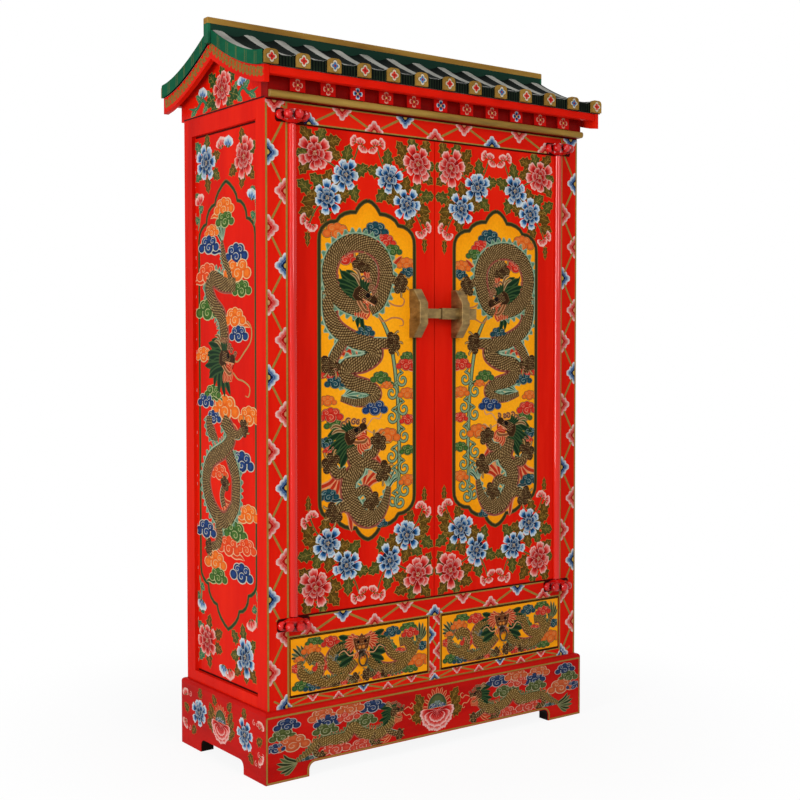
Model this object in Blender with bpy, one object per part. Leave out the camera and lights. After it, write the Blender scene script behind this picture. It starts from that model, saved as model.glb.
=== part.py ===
# Pagoda armoire: red lacquered two-door cabinet with two drawers, bracket plinth and tiled roof.
# Metres, +Z up, front facing -Y, centre of the footprint on the Z axis.

import math

import bmesh
import bpy
from mathutils import Matrix, Vector

# Clearances
FIT = 0.0003
RUN = 0.0008

# Case
CASE_WIDTH = 1.100
CASE_DEPTH = 0.448
CASE_HEIGHT = 1.582
FRONT_STILE = 0.0675
SIDE_STILE = 0.048
RAIL_THICKNESS = 0.028
TOP_RAIL = 0.0575
MIDDLE_RAIL = 0.0555
BOTTOM_RAIL = 0.0275
SIDE_TOP_RAIL = 0.048
SIDE_BOTTOM_RAIL = 0.030
DRAWER_OPENING = 0.1565
MUNTIN = 0.045
PARTITION = 0.018
GUIDE_HEIGHT = 0.025
PANEL_THICKNESS = 0.010
PANEL_RECESS = 0.010
BACK_RECESS = 0.019
GROOVE_DEPTH = 0.008
TENON_LENGTH = 0.012
TENON_THICKNESS = 0.010
TENON_INSET = 0.007
BOARD = 0.018
SHELF_HEIGHT = 0.880
EDGE = 0.002

# Plinth
PLINTH_HEIGHT = 0.188
PLINTH_PROJECTION = 0.0125
PLINTH_THICKNESS = 0.040
PLINTH_ROUND = 0.009
FRONT_FOOT = 0.133
SIDE_FOOT = 0.116
ARCH_HEIGHT = 0.0365
ARCH_STEP = 0.017

# Doors
PIVOT_INSET = 0.080
POST_RADIUS = 0.0118
PIN_RADIUS = 0.004
PIN_LENGTH = 0.022
LEAF_THICKNESS = 0.022
LEAF_RECESS = 0.002
DOOR_GAP = 0.002
TONGUE_THICKNESS = 0.005
TONGUE_LENGTH = 0.008

# Beaded pivot blocks
BEADS = 5
BEAD_RADIUS = 0.0128
BEAD_RING = 0.0360
BLOCK_RADIUS = 0.0300
BLOCK_HEIGHT = 0.027
COLLAR_HEIGHT = 0.006
COLLAR_RADIUS = 0.012

# Latch
LATCH_HEIGHT = 1.041
BRACKET_OFFSET = 0.0745
BRACKET_WIDTH = 0.028
BRACKET_HEIGHT = 0.135
BRACKET_FLAT = 0.058
BRACKET_DEPTH = 0.050
BRACKET_END = 0.020
BAR_HEIGHT = 0.0310
BAR_THICKNESS = 0.0160
BAR_BACK = 0.0185
BAR_OVERRUN = 0.036
SLEEVE_WALL = 0.0014

# Drawers
DRAWER_DEPTH = 0.374
DRAWER_FRONT = 0.020
DRAWER_SIDE = 0.012
DRAWER_SIDE_HEIGHT = 0.132
DRAWER_BOTTOM = 0.006
DRAWER_BOTTOM_RISE = 0.010
DRAWER_GROOVE = 0.006
DRAWER_GAP = 0.0015

# Drop pulls
PULL_RISE = 0.0085
PLATE_RADIUS = 0.0105
PLATE_THICKNESS = 0.003
EYE_WIRE = 0.0018
EYE_CLEARANCE = 0.0006
DROP_WIDTH = 0.026
DROP_LENGTH = 0.034
DROP_WIRE = 0.0026

# Roof
RIDGE_RISE = 0.240
RIDGE_THICKNESS = 0.024
RIDGE_OVERHANG = 0.0495
TILE_OVERHANG = 0.040
EAVES_OVERHANG = 0.066
PAN_RISE_EAVES = 0.098
PAN_RISE_RIDGE = 0.199
ROOF_CURVE = 1.6
TILE_THICKNESS = 0.027
TILE_COUNT = 13
ROLL_WIDTH = 0.040
ROLL_HEIGHT = 0.0088
PAN_EDGE = 0.0055
PAN_SAG = 0.001
CAP_THICKNESS = 0.009
CAP_WIDTH = 0.039
CAP_ROUNDING = 0.010
GABLE_THICKNESS = 0.020
BARGE_THICKNESS = 0.014
BARGE_SETBACK = 0.006
BARGE_FOOT_RISE = 0.027
BARGE_APEX_RISE = 0.133
BARGE_CURVE = 1.43
FASCIA_THICKNESS = 0.022
FASCIA_HEIGHT = 0.021
SOFFIT_THICKNESS = 0.013
FRIEZE_THICKNESS = 0.032
FRIEZE_PROJECTION = 0.014
DENTIL_COUNT = 11
DENTIL_PITCH = 0.0935
DENTIL_WIDTH = 0.046
DENTIL_DEPTH = 0.012
DENTIL_HEIGHT = 0.0385
CORNICE_HEIGHT = 0.0175
CORNICE_DEPTH = 0.015
CORNICE_STEP = 0.006

# Places derived from the sizes
half_width = CASE_WIDTH / 2
half_depth = CASE_DEPTH / 2
base_z = PLINTH_HEIGHT + FIT
top_z = PLINTH_HEIGHT + CASE_HEIGHT
inner_x = half_width - FRONT_STILE
inner_y = half_depth - SIDE_STILE
rail_x = half_width - RAIL_THICKNESS
rail_y = half_depth - RAIL_THICKNESS
back_y = half_depth - BACK_RECESS - PANEL_THICKNESS
drawer_floor_z = base_z + BOTTOM_RAIL
drawer_top_z = drawer_floor_z + DRAWER_OPENING
middle_top_z = drawer_top_z + MIDDLE_RAIL
top_rail_z = top_z - TOP_RAIL
deck_z = middle_top_z - DOOR_GAP
pivot_x = half_width - PIVOT_INSET
leaf_front_y = -half_depth + LEAF_RECESS
leaf_low_z = middle_top_z + DOOR_GAP
leaf_high_z = top_rail_z - DOOR_GAP

RED = (0.62, 0.020, 0.012)
DARK_RED = (0.34, 0.012, 0.010)
GOLD = (0.42, 0.27, 0.08)
SLATE = (0.05, 0.09, 0.08)
BRASS = (0.40, 0.27, 0.10)
IRON = (0.06, 0.05, 0.045)
WOOD = (0.36, 0.20, 0.10)

# Sizes that run along each axis of a profile
PLANES = {"X": (1, 2, 0), "Y": (0, 2, 1), "Z": (0, 1, 2)}

for old in list(bpy.data.objects):
    bpy.data.objects.remove(old, do_unlink=True)


def prism(profile, axis, low, high):
    """Outline in the plane across the axis, carried from low to high along it."""
    bm = bmesh.new()
    a, b, c = PLANES[axis]
    rings = []
    for level in (low, high):
        ring = []
        for u, v in profile:
            point = [0.0, 0.0, 0.0]
            point[a], point[b], point[c] = u, v, level
            ring.append(bm.verts.new(point))
        rings.append(ring)
    bm.faces.new(rings[0])
    bm.faces.new(rings[1])
    for i in range(len(profile)):
        j = (i + 1) % len(profile)
        bm.faces.new((rings[0][i], rings[0][j], rings[1][j], rings[1][i]))
    bmesh.ops.recalc_face_normals(bm, faces=bm.faces)
    return bm


def block(x, y, z):
    """Box between two x, two y and two z values."""
    outline = [(min(x), min(y)), (max(x), min(y)), (max(x), max(y)), (min(x), max(y))]
    return prism(outline, "Z", min(z), max(z))


def loft(rings):
    """Closed skin through rings that have the same number of points."""
    bm = bmesh.new()
    loops = [[bm.verts.new(p) for p in ring] for ring in rings]
    bm.faces.new(loops[0])
    bm.faces.new(loops[-1])
    for low, high in zip(loops, loops[1:]):
        for i in range(len(low)):
            j = (i + 1) % len(low)
            bm.faces.new((low[i], low[j], high[j], high[i]))
    bmesh.ops.recalc_face_normals(bm, faces=bm.faces)
    return bm


def joined(volumes):
    """One mesh that holds several separate volumes."""
    bm = bmesh.new()
    for volume in volumes:
        mesh = bpy.data.meshes.new("volume")
        volume.to_mesh(mesh)
        volume.free()
        bm.from_mesh(mesh)
        bpy.data.meshes.remove(mesh)
    return bm


def circle(radius, count, x=0.0, y=0.0, start=0.0):
    turns = [start + 2 * math.pi * i / count for i in range(count)]
    return [(x + radius * math.cos(t), y + radius * math.sin(t)) for t in turns]


def rod(steps, x, y, count=32):
    """Turned piece on a vertical axis: (z, radius) steps from the bottom up."""
    return loft([[(px, py, z) for px, py in circle(r, count, x, y)] for z, r in steps])


def torus(centre, across, along, major_a, major_b, minor, count=28, sides=10):
    """Closed ring of round wire, its middle line an ellipse in the plane of across and along."""
    bm = bmesh.new()
    normal = Vector(across).cross(Vector(along))
    loops = []
    for i in range(count):
        t = 2 * math.pi * i / count
        out = Vector(across) * (math.cos(t) / major_a) + Vector(along) * (math.sin(t) / major_b)
        out.normalize()
        line = Vector(across) * (major_a * math.cos(t)) + Vector(along) * (major_b * math.sin(t))
        loop = []
        for u, v in circle(minor, sides):
            loop.append(bm.verts.new(Vector(centre) + line + out * u + normal * v))
        loops.append(loop)
    for i in range(count):
        one, two = loops[i], loops[(i + 1) % count]
        for k in range(sides):
            m = (k + 1) % sides
            bm.faces.new((one[k], one[m], two[m], two[k]))
    bmesh.ops.recalc_face_normals(bm, faces=bm.faces)
    return bm


def round_edges(bm, chosen, width, segments):
    """Eases the edges that the test picks out."""
    edges = [e for e in bm.edges if chosen(e.verts[0].co, e.verts[1].co)]
    bmesh.ops.bevel(bm, geom=edges, offset=width, segments=segments, profile=0.5, affect="EDGES")
    return bm


def place(name, bm, origin=(0.0, 0.0, 0.0)):
    bm.transform(Matrix.Translation(-Vector(origin)))
    mesh = bpy.data.meshes.new(name)
    bm.to_mesh(mesh)
    bm.free()
    obj = bpy.data.objects.new(name, mesh)
    obj.location = origin
    bpy.context.scene.collection.objects.link(obj)
    return obj


def piece(name, bm, colour, roughness=0.35, metallic=0.0, origin=(0.0, 0.0, 0.0)):
    """One named sub-part with its own material."""
    obj = place(name, bm, origin)
    look = bpy.data.materials.new(name)
    look.use_nodes = True
    shader = look.node_tree.nodes["Principled BSDF"]
    shader.inputs["Base Color"].default_value = (*colour, 1.0)
    shader.inputs["Roughness"].default_value = roughness
    shader.inputs["Metallic"].default_value = metallic
    obj.data.materials.append(look)
    return obj


def combine(obj, bm, operation, label):
    """Joins a further volume to the piece, or takes it away."""
    tool = place(f"{obj.name}_{label}", bm)
    tool.hide_render = True
    tool.display_type = "WIRE"
    change = obj.modifiers.new(label, "BOOLEAN")
    change.operation = operation
    change.solver = "EXACT"
    change.object = tool


def soften(obj):
    """Small chamfer on the sharp edges of a board."""
    ease = obj.modifiers.new("eased_edges", "BEVEL")
    ease.width = EDGE
    ease.segments = 1
    ease.limit_method = "ANGLE"


# Plinth: four thick boards butted at the corners, with arched feet cut from their lower edges

plinth_x = half_width + PLINTH_PROJECTION
plinth_y = half_depth + PLINTH_PROJECTION


def arched(reach, foot, outer):
    """Half outline of an arched board from its end to the middle, then mirrored."""
    fillet = ARCH_HEIGHT - ARCH_STEP
    inner = outer - foot
    side = [(reach, 0.0), (inner, 0.0), (inner, ARCH_STEP)]
    for i in range(1, 7):
        t = math.pi / 2 * i / 6
        side.append((inner - fillet + fillet * math.cos(t), ARCH_STEP + fillet * math.sin(t)))
    mirrored = [(-u, v) for u, v in reversed(side)]
    return [(reach, PLINTH_HEIGHT)] + side + mirrored + [(-reach, PLINTH_HEIGHT)]


def at_top(first, second):
    return min(first.z, second.z) > PLINTH_HEIGHT - 1e-5


for label, sign in (("front", -1), ("back", 1)):
    board = prism(
        arched(plinth_x, FRONT_FOOT, plinth_x),
        "Y",
        sign * (plinth_y - PLINTH_THICKNESS),
        sign * plinth_y,
    )
    round_edges(
        board,
        lambda a, b: at_top(a, b)
        and (min(a.y * sign, b.y * sign) > plinth_y - 1e-5 or abs(a.x - b.x) < 1e-5),
        PLINTH_ROUND,
        4,
    )
    piece(f"plinth_{label}", board, RED)

side_reach = plinth_y - PLINTH_THICKNESS - FIT
for label, sign in (("left", -1), ("right", 1)):
    board = prism(
        arched(side_reach, SIDE_FOOT, plinth_y),
        "X",
        sign * (plinth_x - PLINTH_THICKNESS),
        sign * plinth_x,
    )
    round_edges(
        board,
        lambda a, b: at_top(a, b) and min(a.x * sign, b.x * sign) > plinth_x - 1e-5,
        PLINTH_ROUND,
        4,
    )
    piece(f"plinth_{label}", board, RED)

# Case frame: four corner posts, grooved for the panels and mortised for the front rails

groove_low_x = half_width - PANEL_RECESS + FIT
groove_high_x = half_width - PANEL_RECESS - PANEL_THICKNESS - FIT
tenon_low_y = -half_depth + (RAIL_THICKNESS - TENON_THICKNESS) / 2
front_rails = {
    "front_top_rail": (top_rail_z, top_z),
    "front_middle_rail": (drawer_top_z, middle_top_z),
    "front_bottom_rail": (base_z, drawer_floor_z),
}

for depth_name, sy in (("front", -1), ("back", 1)):
    for side_name, sx in (("left", -1), ("right", 1)):
        outline = [
            (half_width, half_depth),
            (inner_x, half_depth),
            (inner_x, inner_y),
            (groove_high_x, inner_y),
            (groove_high_x, inner_y + GROOVE_DEPTH),
            (groove_low_x, inner_y + GROOVE_DEPTH),
            (groove_low_x, inner_y),
            (half_width, inner_y),
        ]
        if sy > 0:
            outline[2:2] = [
                (inner_x, back_y + PANEL_THICKNESS + FIT),
                (inner_x + GROOVE_DEPTH, back_y + PANEL_THICKNESS + FIT),
                (inner_x + GROOVE_DEPTH, back_y - FIT),
                (inner_x, back_y - FIT),
            ]
        post = prism([(sx * x, sy * y) for x, y in outline], "Z", base_z, top_z)
        round_edges(
            post,
            lambda a, b: abs(a.z - b.z) > EDGE
            and min(abs(a.x), abs(b.x)) > half_width - 1e-5
            and min(abs(a.y), abs(b.y)) > half_depth - 1e-5,
            EDGE,
            2,
        )
        obj = piece(f"corner_post_{depth_name}_{side_name}", post, RED)
        if sy > 0:
            continue
        for rail, (low, high) in front_rails.items():
            slot = block(
                (sx * (inner_x - FIT), sx * (inner_x + TENON_LENGTH)),
                (tenon_low_y - FIT, tenon_low_y + TENON_THICKNESS + FIT),
                (low + TENON_INSET - FIT, high - TENON_INSET + FIT),
            )
            combine(obj, slot, "DIFFERENCE", f"mortise_{rail}")

# Side frames: rails tongued into the post grooves, each holding a recessed panel

side_reach = inner_y - FIT
tongue_reach = inner_y + GROOVE_DEPTH - FIT
panel_low_z = base_z + SIDE_BOTTOM_RAIL - GROOVE_DEPTH + FIT
panel_high_z = top_z - SIDE_TOP_RAIL + GROOVE_DEPTH - FIT

for label, sx in (("left", -1), ("right", 1)):
    rail_span = (sx * rail_x, sx * half_width)
    line_span = (sx * (half_width - PANEL_RECESS), sx * (half_width - PANEL_RECESS - PANEL_THICKNESS))
    groove_span = (sx * groove_low_x, sx * groove_high_x)
    rails = {
        "top_rail": (top_z - SIDE_TOP_RAIL, top_z, panel_high_z + FIT, top_z - SIDE_TOP_RAIL - FIT),
        "bottom_rail": (base_z, base_z + SIDE_BOTTOM_RAIL, panel_low_z - FIT, base_z + SIDE_BOTTOM_RAIL + FIT),
    }
    for kind, (low, high, groove_end, groove_open) in rails.items():
        obj = piece(f"{label}_{kind}", block(rail_span, (-side_reach, side_reach), (low, high)), RED)
        groove = block(groove_span, (-half_depth, half_depth), (groove_end, groove_open))
        combine(obj, groove, "DIFFERENCE", "panel_groove")
        far = high if groove_end > groove_open else low
        inset = -TENON_INSET if groove_end > groove_open else TENON_INSET
        tongue = block(line_span, (-tongue_reach, tongue_reach), (groove_end, far + inset))
        combine(obj, tongue, "UNION", "tongue")
    panel = block(line_span, (-tongue_reach, tongue_reach), (panel_low_z, panel_high_z))
    piece(f"{label}_side_panel", panel, RED)

# Front frame: three rails tenoned into the posts, and the divider between the drawers

for rail, (low, high) in front_rails.items():
    span = inner_x - FIT
    obj = piece(rail, block((-span, span), (-half_depth, -rail_y), (low, high)), RED)
    reach = inner_x + TENON_LENGTH - FIT
    tenon = block(
        (-reach, reach),
        (tenon_low_y, tenon_low_y + TENON_THICKNESS),
        (low + TENON_INSET, high - TENON_INSET),
    )
    combine(obj, tenon, "UNION", "tenons")
    if rail == "front_bottom_rail":
        continue
    mouth = (low - EDGE, low + PIN_LENGTH) if rail == "front_top_rail" else (high - PIN_LENGTH, high + EDGE)
    for side, sx in (("left", -1), ("right", 1)):
        bore = rod([(mouth[0], PIN_RADIUS + RUN), (mouth[1], PIN_RADIUS + RUN)], sx * pivot_x, -half_depth)
        combine(obj, bore, "DIFFERENCE", f"{side}_pivot")

divider = piece(
    "drawer_divider",
    block((-MUNTIN / 2, MUNTIN / 2), (-half_depth, -rail_y + EDGE), (drawer_floor_z + FIT, drawer_top_z - FIT)),
    RED,
)
combine(
    divider,
    block(
        (-PARTITION / 2, PARTITION / 2),
        (-rail_y + FIT, back_y - FIT),
        (drawer_floor_z + FIT, deck_z - BOARD - FIT),
    ),
    "UNION",
    "partition",
)
combine(
    divider,
    block(
        (-MUNTIN / 2, MUNTIN / 2),
        (-rail_y + FIT, inner_y),
        (drawer_floor_z + FIT, drawer_floor_z + GUIDE_HEIGHT),
    ),
    "UNION",
    "guide",
)

# Back panel and inside boards

back_reach = inner_x + GROOVE_DEPTH - FIT
piece(
    "back_panel",
    block((-back_reach, back_reach), (back_y, back_y + PANEL_THICKNESS), (base_z, top_z)),
    DARK_RED,
    0.6,
)

boards = {
    "case_top_board": (top_z - BOARD, top_z),
    "drawer_deck": (deck_z - BOARD, deck_z),
    "case_bottom_board": (drawer_floor_z - BOARD, drawer_floor_z),
}
for name, (low, high) in boards.items():
    wide = rail_x - FIT
    obj = piece(name, block((-wide, wide), (-inner_y + FIT, inner_y - FIT), (low, high)), WOOD, 0.6)
    narrow = inner_x - FIT
    middle = block((-narrow, narrow), (-rail_y + FIT, back_y - FIT), (low, high))
    combine(obj, middle, "UNION", "between_posts")

shelf_reach = half_width - PANEL_RECESS - PANEL_THICKNESS - FIT
shelf = block(
    (-shelf_reach, shelf_reach),
    (-inner_y + FIT, inner_y - FIT),
    (PLINTH_HEIGHT + SHELF_HEIGHT - BOARD, PLINTH_HEIGHT + SHELF_HEIGHT),
)
soften(piece("shelf", shelf, WOOD, 0.6))

# Doors: a flat leaf tongued into a round post that turns on a pin at each end

for label, sx in (("left", -1), ("right", 1)):
    axis = (sx * pivot_x, -half_depth, leaf_low_z)
    edge_x = pivot_x - POST_RADIUS - RUN
    tongue_y = leaf_front_y + EDGE / 2
    leaf = block(
        (sx * edge_x, sx * DOOR_GAP / 2),
        (leaf_front_y, leaf_front_y + LEAF_THICKNESS),
        (leaf_low_z, leaf_high_z),
    )
    obj = piece(f"{label}_door_leaf", leaf, RED, origin=axis)
    tongue = block(
        (sx * (edge_x - EDGE), sx * (pivot_x - POST_RADIUS + TONGUE_LENGTH)),
        (tongue_y, tongue_y + TONGUE_THICKNESS),
        (leaf_low_z + TENON_INSET, leaf_high_z - TENON_INSET),
    )
    combine(obj, tongue, "UNION", "tongue")

    pin_low = leaf_low_z - PIN_LENGTH + RUN
    pin_high = leaf_high_z + PIN_LENGTH - RUN
    steps = [
        (pin_low, PIN_RADIUS),
        (leaf_low_z, PIN_RADIUS),
        (leaf_low_z, POST_RADIUS),
        (leaf_high_z, POST_RADIUS),
        (leaf_high_z, PIN_RADIUS),
        (pin_high, PIN_RADIUS),
    ]
    obj = piece(f"{label}_door_post", rod(steps, axis[0], axis[1]), RED, origin=axis)
    slot = block(
        (sx * (edge_x - EDGE), sx * (pivot_x - POST_RADIUS + TONGUE_LENGTH + FIT)),
        (tongue_y - FIT, tongue_y + TONGUE_THICKNESS + FIT),
        (leaf_low_z + TENON_INSET - FIT, leaf_high_z - TENON_INSET + FIT),
    )
    combine(obj, slot, "DIFFERENCE", "leaf_slot")

# Beaded pivot blocks: half-round caps on the face frame, hollowed for the door pins


def block_ring(x, z, body, rise):
    """Half outline in front of the frame, with the beads at this height from their middle."""
    y = -half_depth - FIT
    count = (BEADS - 1) * 14
    bead = math.sqrt(max(0.0, BEAD_RADIUS**2 - rise**2))
    ring = []
    for i in range(count + 1):
        t = math.pi + math.pi * i / count
        aside = math.pi / (BEADS - 1) * ((i / 14 + 0.5) % 1.0 - 0.5)
        reach = body
        if bead > BEAD_RING * abs(math.sin(aside)):
            depth = math.sqrt(bead**2 - (BEAD_RING * math.sin(aside)) ** 2)
            reach = max(body, BEAD_RING * math.cos(aside) + depth)
        ring.append((x + reach * math.cos(t), y + reach * math.sin(t), z))
    for i in range(9):
        t = 2 * math.pi - math.pi * i / 8
        hollow = PIN_RADIUS + RUN
        ring.append((x + hollow * math.cos(t), y + hollow * math.sin(t), z))
    return ring


for level, start, way in (("upper", top_rail_z, 1), ("lower", middle_top_z, -1)):
    for label, sx in (("left", -1), ("right", 1)):
        low = start + way * COLLAR_HEIGHT
        middle = low + way * BLOCK_HEIGHT / 2
        profile = [(start, COLLAR_RADIUS, BEAD_RADIUS), (low, BLOCK_RADIUS, BEAD_RADIUS)]
        for i in range(9):
            rise = -BEAD_RADIUS * math.cos(math.pi * i / 8)
            profile.append((middle + way * rise, BLOCK_RADIUS, rise))
        profile.append((low + way * BLOCK_HEIGHT, BLOCK_RADIUS, BEAD_RADIUS))
        rings = [block_ring(sx * pivot_x, z, body, rise) for z, body, rise in profile]
        piece(f"{level}_{label}_pivot_block", loft(rings), RED)

# Latch: a bridge bracket on each door, a fixed tongue on the left and a sliding sleeve on the right

latch_z = PLINTH_HEIGHT + LATCH_HEIGHT
front = leaf_front_y - FIT
notch_half = BAR_HEIGHT / 2 + RUN
notch_depth = BAR_BACK + BAR_THICKNESS + RUN
bracket = [
    (front, latch_z - BRACKET_HEIGHT / 2),
    (front - BRACKET_END, latch_z - BRACKET_HEIGHT / 2),
    (front - BRACKET_DEPTH, latch_z - BRACKET_FLAT / 2),
    (front - BRACKET_DEPTH, latch_z + BRACKET_FLAT / 2),
    (front - BRACKET_END, latch_z + BRACKET_HEIGHT / 2),
    (front, latch_z + BRACKET_HEIGHT / 2),
    (front, latch_z + notch_half),
    (front - notch_depth, latch_z + notch_half),
    (front - notch_depth, latch_z - notch_half),
    (front, latch_z - notch_half),
]
for label, sx in (("left", -1), ("right", 1)):
    axis = (sx * pivot_x, -half_depth, leaf_low_z)
    near = sx * (BRACKET_OFFSET - BRACKET_WIDTH / 2)
    far = sx * (BRACKET_OFFSET + BRACKET_WIDTH / 2)
    body = prism(bracket, "X", min(near, far), max(near, far))
    round_edges(
        body,
        lambda a, b: max(a.y, b.y) < front - BRACKET_END + 1e-5
        and min(abs(a.z - latch_z), abs(b.z - latch_z)) > notch_half + 1e-5,
        EDGE,
        2,
    )
    piece(f"{label}_latch_bracket", body, BRASS, 0.35, 1.0, origin=axis)

bracket_near = BRACKET_OFFSET - BRACKET_WIDTH / 2
bracket_far = BRACKET_OFFSET + BRACKET_WIDTH / 2
bar_back_y = front - BAR_BACK
bar_front_y = bar_back_y - BAR_THICKNESS
skin = SLEEVE_WALL + RUN
tongue = piece(
    "latch_tongue",
    block(
        (-bracket_far + EDGE, -bracket_near),
        (front - FIT, front - notch_depth + FIT),
        (latch_z - notch_half + FIT, latch_z + notch_half - FIT),
    ),
    BRASS,
    0.35,
    1.0,
    origin=(-pivot_x, -half_depth, leaf_low_z),
)
combine(
    tongue,
    block(
        (-bracket_far + EDGE * 2, -RUN),
        (bar_back_y - skin, bar_front_y + skin),
        (latch_z - BAR_HEIGHT / 2 + skin, latch_z + BAR_HEIGHT / 2 - skin),
    ),
    "UNION",
    "point",
)
sleeve = piece(
    "latch_sleeve",
    block(
        (RUN, bracket_far + BAR_OVERRUN),
        (bar_back_y, bar_front_y),
        (latch_z - BAR_HEIGHT / 2, latch_z + BAR_HEIGHT / 2),
    ),
    BRASS,
    0.35,
    1.0,
    origin=(BRACKET_OFFSET, (bar_back_y + bar_front_y) / 2, latch_z),
)
combine(
    sleeve,
    block(
        (-RUN, bracket_far + BAR_OVERRUN - SLEEVE_WALL * 2),
        (bar_back_y - SLEEVE_WALL, bar_front_y + SLEEVE_WALL),
        (latch_z - BAR_HEIGHT / 2 + SLEEVE_WALL, latch_z + BAR_HEIGHT / 2 - SLEEVE_WALL),
    ),
    "DIFFERENCE",
    "socket",
)

# Drawers: front, two grooved sides, back, and a bottom that slides in under the back

front_low_z = drawer_floor_z + DRAWER_GAP
front_high_z = drawer_top_z - DRAWER_GAP
side_low_z = drawer_floor_z + RUN
side_high_z = side_low_z + DRAWER_SIDE_HEIGHT
bottom_low_z = side_low_z + DRAWER_BOTTOM_RISE
bottom_high_z = bottom_low_z + DRAWER_BOTTOM
box_front_y = -half_depth + DRAWER_FRONT
box_back_y = -half_depth + DRAWER_DEPTH

for label, sx in (("left", -1), ("right", 1)):
    near = MUNTIN / 2 + DRAWER_GAP
    far = inner_x - DRAWER_GAP
    rest = (sx * (near + far) / 2, -half_depth, drawer_floor_z)
    face = block((sx * near, sx * far), (-half_depth, box_front_y), (front_low_z, front_high_z))
    obj = piece(f"{label}_drawer_front", face, RED, origin=rest)
    soften(obj)
    for side, wall, way in (("inner", near + FIT, 1), ("outer", far - FIT, -1)):
        side_wall = block(
            (sx * wall, sx * (wall + way * DRAWER_SIDE)),
            (box_front_y + FIT, box_back_y),
            (side_low_z, side_high_z),
        )
        obj = piece(f"{label}_drawer_{side}_side", side_wall, WOOD, 0.6, origin=rest)
        groove = block(
            (sx * (wall + way * (DRAWER_SIDE - DRAWER_GROOVE - FIT)), sx * (wall + way * (DRAWER_SIDE + EDGE))),
            (box_front_y - EDGE, box_back_y + EDGE),
            (bottom_low_z - FIT, bottom_high_z + FIT),
        )
        combine(obj, groove, "DIFFERENCE", "bottom_groove")
    wall_near = near + FIT + DRAWER_SIDE
    wall_far = far - FIT - DRAWER_SIDE
    rear = block(
        (sx * (wall_near + FIT), sx * (wall_far - FIT)),
        (box_back_y - DRAWER_SIDE, box_back_y),
        (bottom_high_z + FIT, side_high_z),
    )
    piece(f"{label}_drawer_back", rear, WOOD, 0.6, origin=rest)
    floor = block(
        (sx * (wall_near - DRAWER_GROOVE), sx * (wall_far + DRAWER_GROOVE)),
        (box_front_y + FIT, box_back_y),
        (bottom_low_z, bottom_high_z),
    )
    piece(f"{label}_drawer_bottom", floor, WOOD, 0.6, origin=rest)

# Drop pulls: a round plate with an eye on each drawer front, and an oval drop hanging in the eye

pull_z = (front_low_z + front_high_z) / 2 + PULL_RISE
eye_radius = DROP_WIRE + EYE_CLEARANCE + EYE_WIRE
eye_y = -half_depth - PLATE_THICKNESS / 2 - eye_radius - EYE_WIRE
for label, sx in (("left", -1), ("right", 1)):
    x = sx * (MUNTIN / 2 + DRAWER_GAP + inner_x - DRAWER_GAP) / 2
    disc = prism(circle(PLATE_RADIUS, 28, x, pull_z), "Y", -half_depth - FIT, -half_depth - PLATE_THICKNESS)
    rest = (x, -half_depth, drawer_floor_z)
    plate = piece(f"{label}_pull_plate", disc, IRON, 0.45, 1.0, origin=rest)
    eye = torus((x, eye_y, pull_z), (0, 1, 0), (0, 0, 1), eye_radius, eye_radius, EYE_WIRE, 24, 10)
    combine(plate, eye, "UNION", "eye")
    hang = (x, eye_y, pull_z - DROP_LENGTH / 2)
    drop = torus(hang, (1, 0, 0), (0, 0, 1), DROP_WIDTH / 2, DROP_LENGTH / 2, DROP_WIRE, 36, 12)
    piece(f"{label}_pull_drop", drop, IRON, 0.45, 1.0, origin=(x, eye_y, pull_z))

# Roof: a ridge board, two concave tiled slopes, gables, bargeboards and the boards under the eaves

eaves_y = half_depth + EAVES_OVERHANG
ridge_side = RIDGE_THICKNESS / 2
tile_x = half_width + TILE_OVERHANG
cap_y = eaves_y - CAP_THICKNESS
fascia_y = cap_y - RUN


def pan_z(y):
    """Height of the pan tiles at this distance from the ridge line."""
    share = min(1.0, max(0.0, (cap_y - abs(y)) / (cap_y - ridge_side)))
    return top_z + PAN_RISE_EAVES + (PAN_RISE_RIDGE - PAN_RISE_EAVES) * share**ROOF_CURVE


slope_ys = [ridge_side + FIT + (cap_y - ridge_side - FIT) * i / 8 for i in range(9)]


def under_z(y):
    """Underside of the tiles, straight between the same places as the tiles are."""
    y = abs(y)
    for a, b in zip(slope_ys, slope_ys[1:]):
        if y <= b:
            share = max(0.0, (y - a) / (b - a))
            return pan_z(a) + (pan_z(b) - pan_z(a)) * share - TILE_THICKNESS
    return pan_z(cap_y) - TILE_THICKNESS


ridge_low = pan_z(ridge_side) - TILE_THICKNESS
ridge_x = half_width + RIDGE_OVERHANG
ridge = block((-ridge_x, ridge_x), (-ridge_side, ridge_side), (ridge_low, top_z + RIDGE_RISE))
soften(piece("ridge_board", ridge, GOLD, 0.4))

tile_pitch = (2 * tile_x - ROLL_WIDTH - 2 * EDGE) / (TILE_COUNT - 1)
roll_xs = [(i - (TILE_COUNT - 1) / 2) * tile_pitch for i in range(TILE_COUNT)]
columns = [(-tile_x, ROLL_HEIGHT)]
for centre in roll_xs:
    for k in range(7):
        across = math.sin(math.pi * (k / 6 - 0.5))
        lift = PAN_EDGE + (ROLL_HEIGHT - PAN_EDGE) * (1.0 - across**4)
        columns.append((centre + ROLL_WIDTH / 2 * across, lift))
    if centre < roll_xs[-1]:
        for k in (1, 2, 3):
            hollow = 1.0 - (k / 2 - 1.0) ** 2
            x = centre + ROLL_WIDTH / 2 + (tile_pitch - ROLL_WIDTH) * k / 4
            columns.append((x, PAN_EDGE - (PAN_EDGE + PAN_SAG) * hollow))
columns.append((tile_x, ROLL_HEIGHT))
for edge in (1, -2):
    columns[edge] = (columns[edge][0], ROLL_HEIGHT)

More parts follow.
